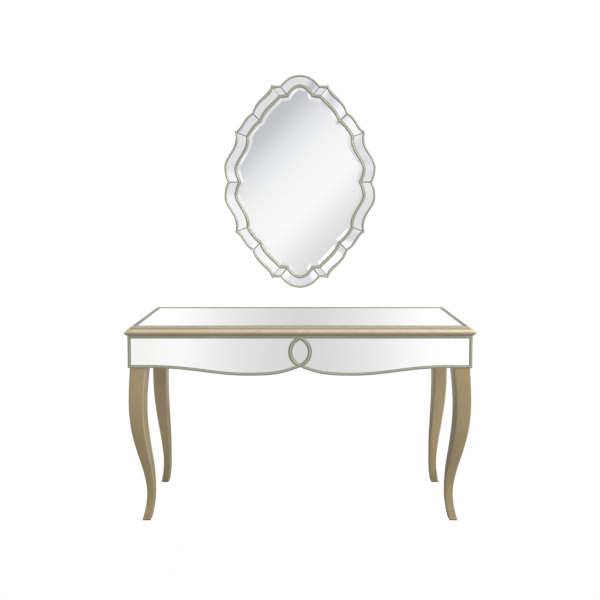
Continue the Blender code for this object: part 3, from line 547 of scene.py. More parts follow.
def moulding_section():
    """(inset, height, mark) round the section, from the land outwards and down."""
    edge = NOSE_RADIUS + COVE_WIDTH
    soft = 0.0006
    section = [(MOULDING_WIDTH, TABLE_TOP - soft, DARK), (MOULDING_WIDTH - soft, TABLE_TOP, DARK)]
    section += [(MOULDING_WIDTH - 0.0022, TABLE_TOP, (0.55, 0.0)), (MOULDING_WIDTH - 0.0036, TABLE_TOP, PLAIN)]
    section += [(edge + soft, TABLE_TOP, WORN_AND_HIGHLIGHT), (edge, TABLE_TOP - soft, WORN_AND_HIGHLIGHT)]
    # The cove darkens towards its middle, as glaze and as painted shade in the hollow.
    cove = sweep((edge, TABLE_TOP - 0.0025), (-90, 0.002), (NOSE_RADIUS, NOSE_TOP), (180, 0.004), 12)
    section += [(x, z, (0.75 * (1 - abs(i - 8) / 8) if i > 2 else 0.0, 0.0)) for i, (x, z) in enumerate(cove[:-1])]
    nose = arc((NOSE_RADIUS, NOSE_MIDDLE), NOSE_RADIUS, 90, 270, 36)
    # The lower half of the nose gets painted shade, and its crest a painted highlight.
    for i, (x, z) in enumerate(nose):
        shade, shine = min(0.35, max(0.0, (i - 18) / 20)), 0.95 * max(0.0, 1 - abs(i - 11) / 5)
        section.append((x, z, (shade, shine)))
    inner = MOULDING_WIDTH + LEDGE_WIDTH
    base = NOSE_MIDDLE - NOSE_RADIUS
    return section + [(inner, base, PLAIN), (inner, LEDGE, PLAIN), (MOULDING_WIDTH, LEDGE, PLAIN)]


def make_rail(name, half_length, reach, turn):
    section = moulding_section()
    marks = [mark for _, _, mark in section]
    stations = []
    for sign in (-1, 1):
        stations.append([(sign * (half_length - GAP / 2 - inset), -reach + inset, z) for inset, z, _ in section])
    bm = carried(stations, marks)
    bmesh.ops.rotate(bm, cent=(0, 0, 0), matrix=Matrix.Rotation(math.radians(turn), 3, "Z"), verts=bm.verts)
    return piece(f"{name}_rail", bm, champagne, "table", "champagne_lacquer", f"{name}_moulding")


for name, half_length, reach, turn in (
    ("front", TABLE_HALF, WALL, 0), ("back", TABLE_HALF, WALL, 180),
    ("right", WALL, TABLE_HALF, 90), ("left", WALL, TABLE_HALF, -90),
):  # fmt: skip
    make_rail(name, half_length, reach, turn)
print("rail section has", len(moulding_section()), "points")

# %% [markdown]
# ## Sheets of mirror
# A sheet is a block with its edges ground to a small arris. Its front takes the mirror finish and
# everything else the ground-glass finish. The table's top sheet also has a broad shallow bevel all
# round, finished in a dull dark grey: a painted reflection of the dark edge of its bed, which reads as a grey border.

# %% Blocks, soft edges and sheets
def solid_box(low, high):
    bm = bmesh.new()
    bmesh.ops.create_cube(bm, size=1)
    bmesh.ops.scale(bm, vec=Vector(high) - Vector(low), verts=bm.verts)
    bmesh.ops.translate(bm, vec=(Vector(high) + Vector(low)) / 2, verts=bm.verts)
    return bm


def bevelled(bm, width, segments=2, edges=None):
    bmesh.ops.bevel(
        bm, geom=edges or bm.edges[:], offset=width, offset_type="OFFSET", affect="EDGES",
        segments=segments, profile=0.5, material=-1, clamp_overlap=True,
    )  # fmt: skip
    return bm


def sheet_of_glass(name, bm, facing, *stands_for, body="table"):
    """Gives the faces that look the same way as the sheet the mirror finish, and the rest the edge's."""
    for face in bm.faces:
        face.material_index = 0 if face.normal.dot(Vector(facing)) > 0.9 else 1
    return piece(name, bm, mirror, body, "mirror_glass", *stands_for, angle=20, edge_finish=ground)

# %% The top sheet
ARRIS = 0.0009
TOP_BEVEL, TOP_BEVEL_DROP = 0.020, 0.0016
STEEPEST_BEVEL, FLAT = 0.5, 0.99999  # how upright a normal is on the bevel, and on the flat
BEVEL_SLOT = 2
low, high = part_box("top_glass")
bm = solid_box(low, high)
top_face = max(bm.faces, key=lambda face: face.calc_center_median().z)
bmesh.ops.inset_region(bm, faces=[top_face], thickness=TOP_BEVEL)
for vert in bm.verts:
    if vert.co.z > high.z - 1e-5 and vert not in top_face.verts:
        vert.co.z -= TOP_BEVEL_DROP
top_sheet = sheet_of_glass("top_sheet", bm, (0, 0, 1), "top_glass")
top_sheet.data.materials.append(bevel_glass_painted_reflection)
for face in top_sheet.data.polygons:
    if STEEPEST_BEVEL < face.normal.z < FLAT:
        face.material_index = BEVEL_SLOT
print("top sheet has", len(top_sheet.data.polygons), "faces")

# %% [markdown]
# ## Trim on the front
# The strips round the panes are small mouldings: a raised bead between two fine grooves, and a narrow
# fillet outside each groove. The grooves are darkened, as glaze and as painted shade, and the crests
# of the bead and the fillets carry a painted highlight. The lower strip swings down and up from each
# corner, and in the middle the two strips cross and turn round the lens.

# %% The trim's section
# (place across the strip, height) as shares, with marks: fillet, groove, bead, groove, fillet. The
# marks paint shade into the grooves and a highlight along the crests.
HALF_TRIM = (
    (-0.500, 0.00, PLAIN), (-0.500, 0.62, (0.5, 0.0)), (-0.470, 0.74, (0.0, 0.6)), (-0.390, 0.76, PLAIN),
    (-0.345, 0.62, (1.0, 0.0)), (-0.300, 0.72, (0.7, 0.0)), (-0.235, 0.88, PLAIN), (-0.150, 0.965, PLAIN),
    (-0.070, 0.995, (0.0, 0.3)),
)  # fmt: skip
TRIM_SECTION = HALF_TRIM + ((0.0, 1.0, (0.0, 0.4)),) + tuple((-f, g, m) for f, g, m in HALF_TRIM[::-1])


def trim_bm(path, widths, section=TRIM_SECTION, face=None, thick=TRIM):
    """The trim's section carried along an (x, z) path on the front."""
    face = -TRIM_HALF_DEPTH if face is None else face
    lines = [shifted(path, [share * w for w in widths]) for share, _, _ in section]
    stations = [
        [(x, face + thick * (1 - height), z) for (x, z), (_, height, _) in zip(place, section)]
        for place in zip(*lines)
    ]
    return carried(stations, [mark for _, _, mark in section])

# %% The lines of the ribbon
CORNER_LAND, LOBE_DROP, LOBE_REACH = 0.078, 0.0307, 0.205
LENS_RADIUS, LENS_SHIFT, RIBBON_END = 0.059, 0.0205, 0.024
LENS_MIDDLE = APRON_TOP - TOP_TRIM / 2 - LENS_RADIUS
CROSSING_RISE = math.sqrt(LENS_RADIUS**2 - LENS_SHIFT**2)
TRIM_TOP, TRIM_BOTTOM = APRON_TOP - TOP_TRIM, APRON_BOTTOM + LOWER_TRIM
FINE = 36


def lower_sweep():
    """Centre line of the ribbon from the left corner to the crossing in the middle."""
    level = APRON_BOTTOM + LOWER_TRIM / 2
    land_end, lowest = (-TRIM_HALF_WIDTH + CORNER_LAND, level), (-LOBE_REACH, level - LOBE_DROP)
    crossing = (0.0, LENS_MIDDLE - CROSSING_RISE)
    rise = math.degrees(math.asin(LENS_SHIFT / LENS_RADIUS))
    run = lowest[0] - land_end[0]
    down = sweep(land_end, (0, run * 0.46), lowest, (0, run * 0.35), FINE)
    up = sweep(lowest, (0, LOBE_REACH * 0.50), crossing, (rise, LOBE_REACH * 0.38), FINE)
    return [(-TRIM_HALF_WIDTH, level)] + down + up[1:]


def lens_arc():
    """Centre line of the arc on the lens's right, from the lower crossing to the top trim."""
    start = -math.degrees(math.acos(LENS_SHIFT / LENS_RADIUS))
    turn = arc((-LENS_SHIFT, LENS_MIDDLE), LENS_RADIUS, start, 90, 2 * FINE)
    return [*turn, (-RIBBON_END, LENS_MIDDLE + LENS_RADIUS)]


def arc_widths(path):
    widths = []
    for _, z in path:
        below = min(max((LENS_MIDDLE - z) / CROSSING_RISE - 0.5, 0.0) / 0.5, 1.0)
        above = min(max((z - LENS_MIDDLE) / LENS_RADIUS - 0.6, 0.0) / 0.4, 1.0)
        widths.append(RIBBON - (RIBBON - LOWER_TRIM) * below - (RIBBON - TOP_TRIM) * above)
    return widths

# %% The ribbons, and the cutters that part them
WHOLE = ((-0.5, -1.5, PLAIN), (-0.5, 2.5, PLAIN), (0.5, 2.5, PLAIN), (0.5, -1.5, PLAIN))
sweep_path, arc_path = lower_sweep(), lens_arc()
over_path = sweep_path + arc_path[1:]
sweep_widths = [LOWER_TRIM] * len(sweep_path)
over_widths = sweep_widths + arc_widths(arc_path[1:])
left_arc = flipped([point for point in arc_path if point[1] < LENS_MIDDLE + CROSSING_RISE])
over = set_aside(trim_bm(over_path, [w + 2 * GAP for w in over_widths], WHOLE))
under = set_aside(trim_bm(left_arc, [w + 2 * GAP for w in arc_widths(left_arc)], WHOLE))
TRIM_SLOT = ("table", "champagne_lacquer")
piece("ribbon_over", trim_bm(over_path, over_widths), silvered, *TRIM_SLOT, "left_ribbon")
ribbon_under = piece("ribbon_under", trim_bm(flipped(sweep_path), sweep_widths), silvered, *TRIM_SLOT, "right_ribbon")
blade = solid_box((-0.1, -1, 0), (LENS_SHIFT / 2, 1, 1))
cut_with(ribbon_under, set_aside(blade), over)
lens_left = piece("lens_left_bow", trim_bm(left_arc, arc_widths(left_arc)), silvered, *TRIM_SLOT, "lens_left_arc")
cut_with(lens_left, over)

# %% Straight trims
def straight_trim(name, start, end, width, *cutters):
    made = piece(f"{name}_strip", trim_bm([start, end], [width] * 2), silvered, *TRIM_SLOT, name)
    return cut_with(made, *cutters) if cutters else made


top_line = APRON_TOP - TOP_TRIM / 2
straight_trim("left_top_trim", (-TRIM_HALF_WIDTH, top_line), (-RIBBON_END - GAP, top_line), TOP_TRIM, under)
straight_trim("right_top_trim", (0.0, top_line), (TRIM_HALF_WIDTH, top_line), TOP_TRIM, over)
for sign, word in ((-1, "left"), (1, "right")):
    x = sign * (TRIM_HALF_WIDTH - END_TRIM / 2)
    straight_trim(f"{word}_end_trim", (x, TRIM_BOTTOM + GAP), (x, TRIM_TOP - GAP), END_TRIM)

# %% [markdown]
# ## Panes on the front
# Each pane is sawn to the trim's own line, so it is cut from a flat outline with the same carried
# shapes that the trims came from, made wider by the joint.

# %% The panes
def flat_plate(points, face, thick):
    """An (x, z) outline extruded to a plate whose front is at y = face."""
    bm = bmesh.new()
    bm.faces.new([bm.verts.new((x, face, z)) for x, z in points])
    made = bmesh.ops.extrude_face_region(bm, geom=bm.faces[:])["geom"]
    bmesh.ops.translate(bm, vec=(0, thick, 0), verts=[v for v in made if isinstance(v, bmesh.types.BMVert)])
    bmesh.ops.recalc_face_normals(bm, faces=bm.faces)
    return bm


def finished_pane(name, bm, node, *cutters):
    made = piece(name, bm, mirror, "table", "mirror_glass", node, angle=20, edge_finish=ground)
    if cutters:
        cut_with(made, *cutters)
    for face in made.data.polygons:
        face.material_index = 0 if face.normal.y < -0.9 else 1
    return made


PANE_FACE = -TRIM_HALF_DEPTH + TRIM - GLASS
pane_end = TRIM_HALF_WIDTH - END_TRIM - JOINT
pane_top = TRIM_TOP - JOINT
lower = [point for point in sweep_path if point[0] > -pane_end]
arc_up = flipped([point for point in arc_path if point[1] < pane_top])
pane = [(-pane_end, sweep_path[0][1])] + lower + arc_up[1:] + [(arc_up[-1][0], pane_top), (-pane_end, pane_top)]
wide = [w + 2 * JOINT for w in over_widths]
left_edge = set_aside(trim_bm(over_path, wide, WHOLE))
right_edge = set_aside(trim_bm(over_path, wide, WHOLE))
bm = bmesh.new()
bm.from_mesh(right_edge.data)
bmesh.ops.scale(bm, vec=(-1, 1, 1), verts=bm.verts)
bmesh.ops.reverse_faces(bm, faces=bm.faces)
bm.to_mesh(right_edge.data)
bm.free()
finished_pane("front_pane_left", flat_plate(pane, PANE_FACE, GLASS), "front_glass_left", left_edge, right_edge)
right_plate = flat_plate(flipped(pane), PANE_FACE, GLASS)
finished_pane("front_pane_right", right_plate, "front_glass_right", left_edge, right_edge)
inner = LENS_RADIUS - RIBBON / 2 - JOINT
half_angle = math.degrees(math.acos(LENS_SHIFT / inner))
bow = arc((-LENS_SHIFT, LENS_MIDDLE), inner, -half_angle, half_angle, 2 * FINE)
finished_pane("lens_pane", flat_plate(bow[:-1] + flipped(bow)[::-1][:-1], PANE_FACE, GLASS), "lens_glass")

# %% [markdown]
# ## Ends of the table
# Each end has a frame of the same trim round its pane. Its section is carried round the four mitred
# corners in one go.

# %% End frames and panes
def framed(low_y, high_y, low_z, high_z, width, face, sign):
    corners = ((low_y, low_z, 1, 1), (high_y, low_z, -1, 1), (high_y, high_z, -1, -1), (low_y, high_z, 1, -1))
    stations = []
    for y, z, in_y, in_z in (*corners, corners[0]):
        row = []
        for share, height, _ in TRIM_SECTION:
            inset = (share + 0.5) * width
            row.append((face - sign * TRIM * (1 - height), y + in_y * inset, z + in_z * inset))
        stations.append(row)
    return carried(stations, [mark for _, _, mark in TRIM_SECTION], closed=True)


for sign, word in ((-1, "left"), (1, "right")):
    low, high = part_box(f"{word}_end_frame")
    bm = framed(low.y, high.y, low.z, high.z, LOWER_TRIM, sign * TRIM_HALF_WIDTH, sign)
    piece(f"{word}_end_surround", bm, silvered, *TRIM_SLOT, f"{word}_end_frame")
    low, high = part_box(f"{word}_end_glass")
    grow = END_TRIM - LOWER_TRIM
    low, high = low - Vector((0, grow, 0)), high + Vector((0, grow, TOP_TRIM - LOWER_TRIM))
    sheet_of_glass(f"{word}_end_pane", bevelled(solid_box(low, high), ARRIS / 2, 1), (sign, 0, 0), f"{word}_end_glass")

# %% [markdown]
# ## Legs
# A leg is sawn from a square blank and curved on its diagonal: it swells at the knee under the apron,
# thins towards the ankle and turns out a little at the foot. Its section stays a square with softened
# corners, so it is one section carried down the curve, with the post that stands inside the apron
# extruded from its top.

# %% Legs
LEG_STATIONS = (
    (0.000, 0.0475, 0.0325), (0.094, 0.0590, 0.0305), (0.188, 0.0615, 0.0300), (0.314, 0.0510, 0.0372),
    (0.456, 0.0320, 0.0468), (0.597, 0.0165, 0.0543), (0.738, 0.0095, 0.0585), (0.880, 0.0105, 0.0617),
    (1.000, 0.0138, 0.0650),
)  # fmt: skip
LEG_RINGS, LEG_ROUNDING, CORNER_STEPS = 9, 0.11, 6
POST_SIDE, POST_CHAMFER, POST_HEADROOM = 0.044, 0.016, 0.004


def rounded_square(inset, side, height):
    radius = side * LEG_ROUNDING
    low, high = inset + radius, inset + side - radius
    points = []
    for centre, start in (((high, high), 0), ((low, high), 90), ((low, low), 180), ((high, low), 270)):
        points += arc(centre, radius, start, start + 90, CORNER_STEPS)
    return [(x, y, height) for x, y in points]


def leg_sections():
    leg_height = APRON_BOTTOM - GAP
    stations = [Vector((share * leg_height, inset, side)) for share, inset, side in LEG_STATIONS]
    slopes = []
    for i in range(len(stations)):
        before, after = stations[max(i - 1, 0)], stations[min(i + 1, len(stations) - 1)]
        slopes.append((after - before) / (after.x - before.x))
    found = []
    for (a, slope_a), (b, slope_b) in zip(zip(stations, slopes), zip(stations[1:], slopes[1:])):
        third = (b.x - a.x) / 3
        found += interpolate_bezier(a, a + slope_a * third, b - slope_b * third, b, LEG_RINGS + 1)[:-1]
    return [*found, stations[-1]]


def post_ring(height):
    """The post's outline, with as many points as a leg ring, so that one extrudes into the other."""
    inner_face = TABLE_HALF - BOARD_HALF_WIDTH + APRON_BOARD
    low, high = inner_face + GAP, inner_face + GAP + POST_SIDE
    n = CORNER_STEPS
    ends = (((high, high - POST_CHAMFER), (high - POST_CHAMFER, high)),)
    chamfer = [Vector(ends[0][0]).lerp(Vector(ends[0][1]), i / n) for i in range(n + 1)]
    soft = 0.0015
    points = [tuple(p) for p in chamfer]
    near, far = low + soft, high - soft
    for centre, start in (((near, far), 90), ((near, near), 180), ((far, near), 270)):
        points += arc(centre, soft, start, start + 90, n)
    return [(x, y, height) for x, y in points]


def leg_bm():
    rings = [rounded_square(s.y, s.z, s.x) for s in leg_sections()]
    foot = rings[0]
    centre = Vector((sum(p[0] for p in foot), sum(p[1] for p in foot), 0)) / len(foot)
    tucked = [tuple(centre + (Vector(p) - centre) * 0.97) for p in foot]
    raised = [(x, y, 0.0012) for x, y, _ in foot]
    grown = [(x, y, 0.0060) for x, y, _ in foot]
    shoulder = rings[-1][0][2]
    rings = [tucked, raised, grown] + rings[1:] + [post_ring(shoulder), post_ring(APRON_TOP - POST_HEADROOM)]
    # A painted highlight runs along the middle of each rounded corner, together with rubbed wear, and painted shade
    # darkens the bottom of the foot.
    corner = [(0.0, 0.7 * (1 - abs(2 * i / CORNER_STEPS - 1)) ** 2) for i in range(CORNER_STEPS + 1)]
    painted_foot_shade = [(0.9, 0.0), (0.7, 0.0), (0.25, 0.0)]
    return carried(rings, corner * 4, painted_foot_shade + [(0.0, 0.0)] * (len(rings) - len(painted_foot_shade)))


def corner_matrix(corner):
    signs = ((-1, -1), (1, -1), (1, 1), (-1, 1))[corner]
    place = Matrix.Translation((signs[0] * TABLE_HALF, signs[1] * WALL, 0))
    return place @ Matrix.Rotation(corner * math.pi / 2, 4, "Z")


CORNERS = ("front_left", "front_right", "back_right", "back_left")
for corner, where in enumerate(CORNERS):
    bm = leg_bm()
    bmesh.ops.transform(bm, matrix=corner_matrix(corner), verts=bm.verts)
    leg = piece(f"{where}_curved_leg", bm, shaded_leg_champagne, "table", "champagne_lacquer", f"{where}_leg")
print("a leg has", len(leg.data.polygons), "faces")

# %% [markdown]
# ## The wall mirror's outlines
# Both rims follow scalloped outlines that repeat in each quarter: lobes between pointed notches. A
# stretch is its end point, its heading and handle at each end, and whether a seam of the border
# glass comes down to its end. Moving an outline inwards moves its corners on their mitres.

# %% Outlines
OUTER_QUARTER = (
    ((0.0905, 0.4425), (-2, 0.0484), (-50, 0.0286), 5, True),
    ((0.1310, 0.4475), (2, 0.0220), (38, 0.0110), 3, True),
    ((0.2205, 0.3170), (-80, 0.0485), (-74, 0.0755), 6, True),
    ((0.3005, 0.2325), (-26, 0.0468), (-20, 0.0335), 5, True),
    ((0.3493, 0.0625), (-105, 0.0815), (-94, 0.0580), 7, False),
    ((0.3338, 0.0000), (-91, 0.0277), (-116, 0.0211), 3, True),
)
INNER_QUARTER = (
    ((0.0618, 0.4015), (0, 0.0268), (-59, 0.0262), 5, True),
    ((0.0963, 0.3988), (-1, 0.0132), (5, 0.0152), 3, True),
    ((0.1867, 0.2845), (-53, 0.0395), (-77, 0.0490), 6, True),
    ((0.2482, 0.2108), (-31, 0.0282), (-60, 0.0288), 5, True),
    ((0.3022, 0.0618), (-101, 0.0585), (-88, 0.0360), 7, False),
    ((0.2848, 0.0000), (-92, 0.0243), (-114, 0.0168), 3, True),
)
OUTER, INNER = ((0.0, MIRROR_HALF_HEIGHT), OUTER_QUARTER), ((0.0, 0.4460), INNER_QUARTER)
FINER = 5  # steps for each of the quarter's own


def moved_in(corner, before, after, inset):
    middle = math.radians((before + after) / 2)
    reach = inset / math.cos(math.radians((after - before) / 2))
    return (corner[0] + reach * math.sin(middle), corner[1] - reach * math.cos(middle))


def outline(shape, inset=0.0):
    top, quarter = shape
    corner = top
    path = [moved_in(top, 0, 0, inset)]
    for i, (end, start_turn, end_turn, steps, _) in enumerate(quarter):
        after = quarter[i + 1][1][0] if i + 1 < len(quarter) else -180 - end_turn[0]
        moved = moved_in(end, end_turn[0], after, inset)
        scale = math.dist(path[-1], moved) / math.dist(corner, end)
        start_turn = (start_turn[0], start_turn[1] * scale)
        end_turn = (end_turn[0], end_turn[1] * scale)
        path += sweep(path[-1], start_turn, moved, end_turn, steps * FINER)[1:]
        corner = end
    right = path + [(x, -z) for x, z in path[-2::-1]]
    return right + flipped(right[-2:0:-1])


def seam_places(shape):
    place, seams = 0, []
    for *_, steps, seam in shape[1]:
        place += steps * FINER
        if seam:
            seams.append(place)
    half = seams + [2 * place - i for i in seams[-2::-1]]
    return half + [4 * place - i for i in half[::-1]]


def ring(shape, inset, height):
    return [(x, BOARD_BACK - height, MIRROR_CENTRE + z) for x, z in outline(shape, inset)]

# %% [markdown]
# ## Rims
# The outer rim is a narrow bead. The inner rim is wider, with a fine groove near each edge. A rim is
# closed both ways, so its section is laid out as rows that run right round the outline, each row
# extruded from the last one.

# %% The two rims
# The rims' marks darken their grooves and edges, as glaze and as painted shade, and put a painted highlight along each
# crest.
OUTER_SECTION = (
    (0.00, 0.00, PLAIN), (0.00, 0.80, (0.5, 0.0)), (0.05, 0.87, PLAIN), (0.16, 0.885, PLAIN),
    (0.22, 0.84, (1.0, 0.0)), (0.30, 0.90, (0.4, 0.0)), (0.42, 0.975, PLAIN), (0.55, 1.00, (0.0, 0.1)),
    (0.70, 0.985, PLAIN), (0.82, 0.93, PLAIN), (0.92, 0.84, (0.4, 0.0)), (1.00, 0.74, (0.9, 0.0)), (1.00, 0.00, PLAIN),
)  # fmt: skip
INNER_SECTION = (
    (0.00, 0.00, PLAIN), (0.00, 0.55, (0.9, 0.0)), (0.04, 0.72, (0.2, 0.0)), (0.12, 0.80, PLAIN), (0.20, 0.78, PLAIN),
    (0.26, 0.62, (0.6, 0.0)), (0.32, 0.80, (0.1, 0.0)), (0.40, 0.94, PLAIN), (0.50, 1.00, (0.0, 0.15)),
    (0.60, 0.94, PLAIN), (0.68, 0.80, (0.1, 0.0)), (0.74, 0.62, (0.6, 0.0)), (0.80, 0.78, PLAIN),
    (0.88, 0.80, PLAIN), (0.96, 0.70, (0.2, 0.0)), (1.00, 0.50, (0.9, 0.0)), (1.00, 0.00, PLAIN),
)  # fmt: skip


def rim_bm(shape, edge, width, foot, front, section):
    """Rows round the outline, from the section's first point to its last and back to the first."""
    rows = [ring(shape, edge + (width - edge) * share, foot + (front - foot) * height) for share, height, _ in section]
    marks = [mark for _, _, mark in section]
    return carried(rows + rows[:1], row_marks=marks + marks[:1], closed=True)


piece("mirror_outer_rim", rim_bm(OUTER, 0.0, OUTER_RIM, 0.0, OUTER_RIM_FRONT, OUTER_SECTION),
      lit_rim_silver, "wall_mirror", "champagne_lacquer", "outer_rim")
piece("mirror_inner_rim", rim_bm(INNER, GAP, INNER_RIM, BOARD + GAP, INNER_RIM_FRONT, INNER_SECTION),
      lit_rim_silver, "wall_mirror", "champagne_lacquer", "inner_rim")

# %% [markdown]
# ## Glass of the wall mirror
# The centre sheet has a wide polished bevel. Round it the border is made of eighteen bent strips that
# lean outwards, cut where the outline's notches are.

# %% Centre glass
start, foot = INNER_RIM + JOINT, BOARD + GAP
rows = [ring(INNER, start, foot), ring(INNER, start, foot + CENTRE_EDGE),
        ring(INNER, start + CENTRE_BEVEL, foot + CENTRE_GLASS)]
bm = carried(rows)
centre = piece("centre_sheet", bm, mirror, "wall_mirror", "mirror_glass", "centre_glass", angle=3, edge_finish=ground)
for face in centre.data.polygons:
    face.material_index = 0 if face.normal.y < -0.5 else 1

# %% Border glass
BORDER_NAMES = (
    "shoulder", "upper_long", "upper_short", "upper_side", "lower_side", "lower_short", "lower_long", "foot",
)  # fmt: skip


def border_names():
    right = [f"{name}_right" for name in BORDER_NAMES]
    left = [f"{name}_left" for name in BORDER_NAMES[::-1]]
    return [*right, "bottom", *left, "top"]


outer_edge, inner_edge = outline(OUTER, OUTER_RIM + JOINT), outline(INNER, -JOINT)
seams, count = seam_places(OUTER), len(outer_edge)
low_height, high_height, soft = BORDER_EDGE + GAP, BORDER_EDGE + BORDER_RISE + GAP, 0.0007
for name, first, last in zip(border_names(), seams, seams[1:] + [seams[0] + count]):
    stations = []
    for i in range(first, last + 1):
        a, b = Vector(outer_edge[i % count]), Vector(inner_edge[i % count])
        if i in (first, last):
            near = (i + (1 if i == first else -1)) % count
            along = (Vector(outer_edge[near]) - a).normalized() * SEAM / 2
            a, b = a + along, b + along
        across = (b - a).normalized() * soft
        quad = ((a, low_height), (b, high_height), (b, high_height + GLASS - soft),
                (b - across, high_height + GLASS), (a + across, low_height + GLASS), (a, low_height + GLASS - soft))
        stations.append([(p.x, BOARD_BACK - h, MIRROR_CENTRE + p.y) for p, h in quad])
    strip = piece(f"border_strip_{name}", carried(stations), mirror, "wall_mirror", "mirror_glass",
                  f"border_{name}", angle=25, edge_finish=ground)
    for face in strip.data.polygons:
        face.material_index = 0 if face.normal.y < -0.9 else 1

# %% [markdown]
# ## Bolts and screws
# Under the top, a bolt runs through each corner plate into its leg, with a washer and a nut, and four
# screws hold the plate to the boards. Two screws hold each hanger's strap to the back of the mirror.

# %% Turned parts
EASED = 0.3  # share of a part's radius or length that its far edge is rounded by


def turned_part(into, foot, outward, radius, length, segments=24, recess=0.0):
    """A round or six-sided part standing on `foot` and pointing `outward`, with its far edge softened."""
    bm = bmesh.new()
    bmesh.ops.create_cone(bm, cap_ends=True, segments=segments, radius1=radius, radius2=radius, depth=length)
    far = max(bm.faces, key=lambda face: face.calc_center_median().z)
    if recess:
        bmesh.ops.inset_region(bm, faces=[far], thickness=radius * 0.55)
        bmesh.ops.translate(bm, vec=(0, 0, -recess), verts=far.verts)
    rim = [edge for edge in bm.edges if all(abs(v.co.z - length / 2) < 1e-6 for v in edge.verts)]
    rim = [edge for edge in rim if min(v.co.xy.length for v in edge.verts) > radius * 0.8]
    bevelled(bm, min(radius, length) * EASED, 3, rim)
    turn = Vector(outward).to_track_quat("Z", "Y").to_matrix().to_4x4()
    place = Matrix.Translation(Vector(foot)) @ turn @ Matrix.Translation((0, 0, length / 2))
    bmesh.ops.transform(bm, matrix=place, verts=bm.verts)
    mesh = bpy.data.meshes.new("turned")
    bm.to_mesh(mesh)
    bm.free()
    into.from_mesh(mesh)
    bpy.data.meshes.remove(mesh)
    return into

# %% Bolts, washers and nuts
PLATE, REACH, FLANGE, LIFT_OFF = 0.0025, 0.104, 0.022, 0.00005
BOLT, BOLT_END, WASHER, WASHER_THICK = 0.0039, 0.019, 0.0105, 0.0016
NUT, NUT_THICK, BESIDE_LEG = 0.0078, 0.0068, 0.0002
ZINC = ("zinc_plated_steel",)


def plate_frame(where):
    """The signs of a corner, and how far out and how high its plate stands."""
    low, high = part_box(f"{where}_bracket")
    signs = (-1 if "left" in where else 1, -1 if "front" in where else 1)
    return signs, max(abs(low.x), abs(high.x)), max(abs(low.y), abs(high.y)), (low.z + high.z) / 2, low.z


for where in CORNERS:
    (sx, sy), far_x, far_y, middle_z, low_z = plate_frame(where)
    inward = Vector((-sx, -sy, 0)).normalized()
    back = PLATE / 2 + REACH / 2
    hole = Vector((sx * (far_x - back), sy * (far_y - back), middle_z))
    seat = hole + inward * (PLATE / 2 + LIFT_OFF)
    post = [v.co for v in bpy.data.objects[f"{where}_curved_leg"].data.vertices if v.co.z > low_z]
    to_leg = min((hole - Vector((p.x, p.y, hole.z))).dot(inward) for p in post) - BESIDE_LEG
    bolt = turned_part(bmesh.new(), hole - inward * to_leg, inward, BOLT, to_leg + BOLT_END)
    washer = turned_part(bmesh.new(), seat, inward, WASHER, WASHER_THICK, 32)
    nut_seat = seat + inward * (WASHER_THICK + 2 * LIFT_OFF)
    nut = turned_part(bmesh.new(), nut_seat, inward, NUT, NUT_THICK, 6)
    for word, made in (("bolt", bolt), ("washer", washer), ("nut", nut)):
        piece(f"{where}_{word}", made, steel, "table", *ZINC)
print(f"bolts run {1000 * to_leg:.1f} mm from plate to leg")

# %% Screws in the plates and the straps
SCREW, SCREW_HEAD, SCREW_DRIVE, SCREW_SPREAD = 0.0040, 0.0024, 0.0008, 0.016
SMALL_SCREW, SMALL_HEAD, SMALL_DRIVE = 0.0034, 0.0020, 0.0007
STRAP, STRAP_SCREWS = 0.0012, (0.0085, 0.0270)
for where in CORNERS:
    (sx, sy), far_x, far_y, middle_z, _ = plate_frame(where)
    along, clear = PLATE / 2 + REACH + FLANGE / 2, PLATE + LIFT_OFF
    screws = bmesh.new()
    for level in (middle_z - SCREW_SPREAD, middle_z + SCREW_SPREAD):
        head = (SCREW, SCREW_HEAD, 24, SCREW_DRIVE)
        turned_part(screws, (sx * (far_x - along), sy * (far_y - clear), level), (0, -sy, 0), *head)
        turned_part(screws, (sx * (far_x - clear), sy * (far_y - along), level), (-sx, 0, 0), *head)
    piece(f"{where}_bracket_screws", screws, steel, "table", *ZINC)
for word in ("left", "right"):
    low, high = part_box(f"{word}_strap")
    screws = bmesh.new()
    for up in STRAP_SCREWS:
        foot = ((low.x + high.x) / 2, low.y + STRAP + LIFT_OFF, low.z + up)
        turned_part(screws, foot, (0, 1, 0), SMALL_SCREW, SMALL_HEAD, 24, SMALL_DRIVE)
    piece(f"{word}_strap_screws", screws, steel, "wall_mirror", *ZINC)
print("4 screws in each plate and", len(STRAP_SCREWS), "in each strap")

# %% [markdown]
# ## Hangers and bumpers
# A strap is a steel plate rolled into an eye at its top end. The ring is one bent wire whose bar turns
# in the eye, so ring and strap share an axis. The bumpers are rubber buttons with a rounded rim.

# %% Strap
WIRE, EYE_CLEARANCE, STRAP_LENGTH, STRAP_EASED = 0.0015, 0.0004, 0.042, 0.00012
EYE_BEHIND = GAP + STRAP + EYE_CLEARANCE + WIRE
EYE_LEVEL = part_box("left_strap")[0].z + STRAP_LENGTH


def strap_bm(low_x, high_x):
    eye, hole = (EYE_BEHIND, 0.0), WIRE + EYE_CLEARANCE
    side = [(GAP, -STRAP_LENGTH), *arc(eye, hole + STRAP, 180, -140, 36), *arc(eye, hole, -140, 180, 36)]
    side.append((GAP + STRAP, -STRAP_LENGTH))
    bm = carried([[(x, BOARD_BACK + behind, EYE_LEVEL + up) for behind, up in side] for x in (low_x, high_x)])
    ends = [e for e in bm.edges if abs(e.verts[0].co.x - e.verts[1].co.x) < 1e-6]
    return bevelled(bm, STRAP_EASED, 2, ends)


for word in ("left", "right"):
    low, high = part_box(f"{word}_strap")
    piece(f"{word}_strap_plate", strap_bm(low.x, high.x), steel, "wall_mirror", *ZINC, f"{word}_strap")
print(f"the eyes are {EYE_LEVEL:.4f} above the floor")

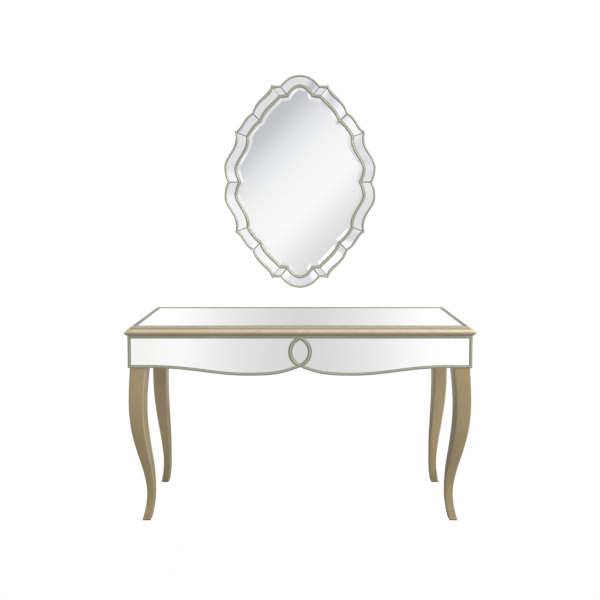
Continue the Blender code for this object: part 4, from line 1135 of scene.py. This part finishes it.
# %% Ring
BOW, BAR_CORNER, RING_DROP, ROUND_THE_WIRE = 0.013, 0.004, 0.024, 16


def ring_line():
    corner = sweep((BOW - BAR_CORNER, 0.0), (0, 0.0028), (BOW, BOW - RING_DROP), (-90, 0.0050), 12)
    half = [(0.0, 0.0), *corner, *arc((0.0, BOW - RING_DROP), BOW, 0, -90, 20)[1:]]
    return half + flipped(half[1:-1])[::-1]


def ring_bm(middle_x):
    line = [Vector((x, 0.0, z)) for x, z in ring_line()]
    turns = [math.tau * i / ROUND_THE_WIRE for i in range(ROUND_THE_WIRE)]
    stations = []
    for before, point, after in zip(line[-1:] + line, line, line[1:] + line[:1]):
        along = (after - before).normalized()
        across = Vector((-along.z, 0.0, along.x)) * WIRE
        place = point + Vector((middle_x, BOARD_BACK + EYE_BEHIND, EYE_LEVEL))
        stations.append([tuple(place + across * math.cos(a) + Vector((0, WIRE * math.sin(a), 0))) for a in turns])
    return carried(stations + stations[:1], closed=True)


for word in ("left", "right"):
    low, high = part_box(f"{word}_strap")
    bm = ring_bm((low.x + high.x) / 2)
    piece(f"{word}_hanging_ring", bm, steel, f"{word}_ring", *ZINC, f"{word}_ring")
print("a ring's wire has", len(ring_line()), "bends")

# %% Bumpers
for word in ("left", "right"):
    low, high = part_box(f"{word}_bumper")
    foot = ((low.x + high.x) / 2, low.y, (low.z + high.z) / 2)
    button = turned_part(bmesh.new(), foot, (0, 1, 0), (high.x - low.x) / 2, high.y - low.y, 40)
    piece(f"{word}_bumper_button", button, rubber, "wall_mirror", "rubber", f"{word}_bumper")
print(f"bumpers are {1000 * (high.y - low.y):.1f} mm thick")

# %% [markdown]
# ## Boards behind the glass
# The apron's plain boards and the panel under the top sheet have their edges eased by sanding.

# %% Boards with eased edges
SANDED = 0.0010
for name, finish, slot in (
    ("back_apron", champagne, "champagne_lacquer"), ("left_apron", champagne, "champagne_lacquer"),
    ("right_apron", champagne, "champagne_lacquer"), ("top_panel", fibreboard, "painted_fibreboard"),
):  # fmt: skip
    piece(f"{name}_board", bevelled(solid_box(*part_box(name)), SANDED, 3), finish, "table", slot, name)

# %% [markdown]
# ## Clean glass
# Every piece is kept out of reflections, so that no sheet shows the other half of the set or the trim
# beside it. Real glass would show both. It is done here to keep each sheet an even sweep of grey.

# %% Keep the two halves out of each other's glass
kept_out = [o for o in bpy.data.objects if o.type == "MESH" and o.parent]
for made in kept_out:
    made.visible_glossy = False
print(len(kept_out), "pieces stay out of reflections")

# %% Clear away the cutters
for made in [o for o in bpy.data.objects if o.name.startswith("cutter")]:
    bpy.data.objects.remove(made)
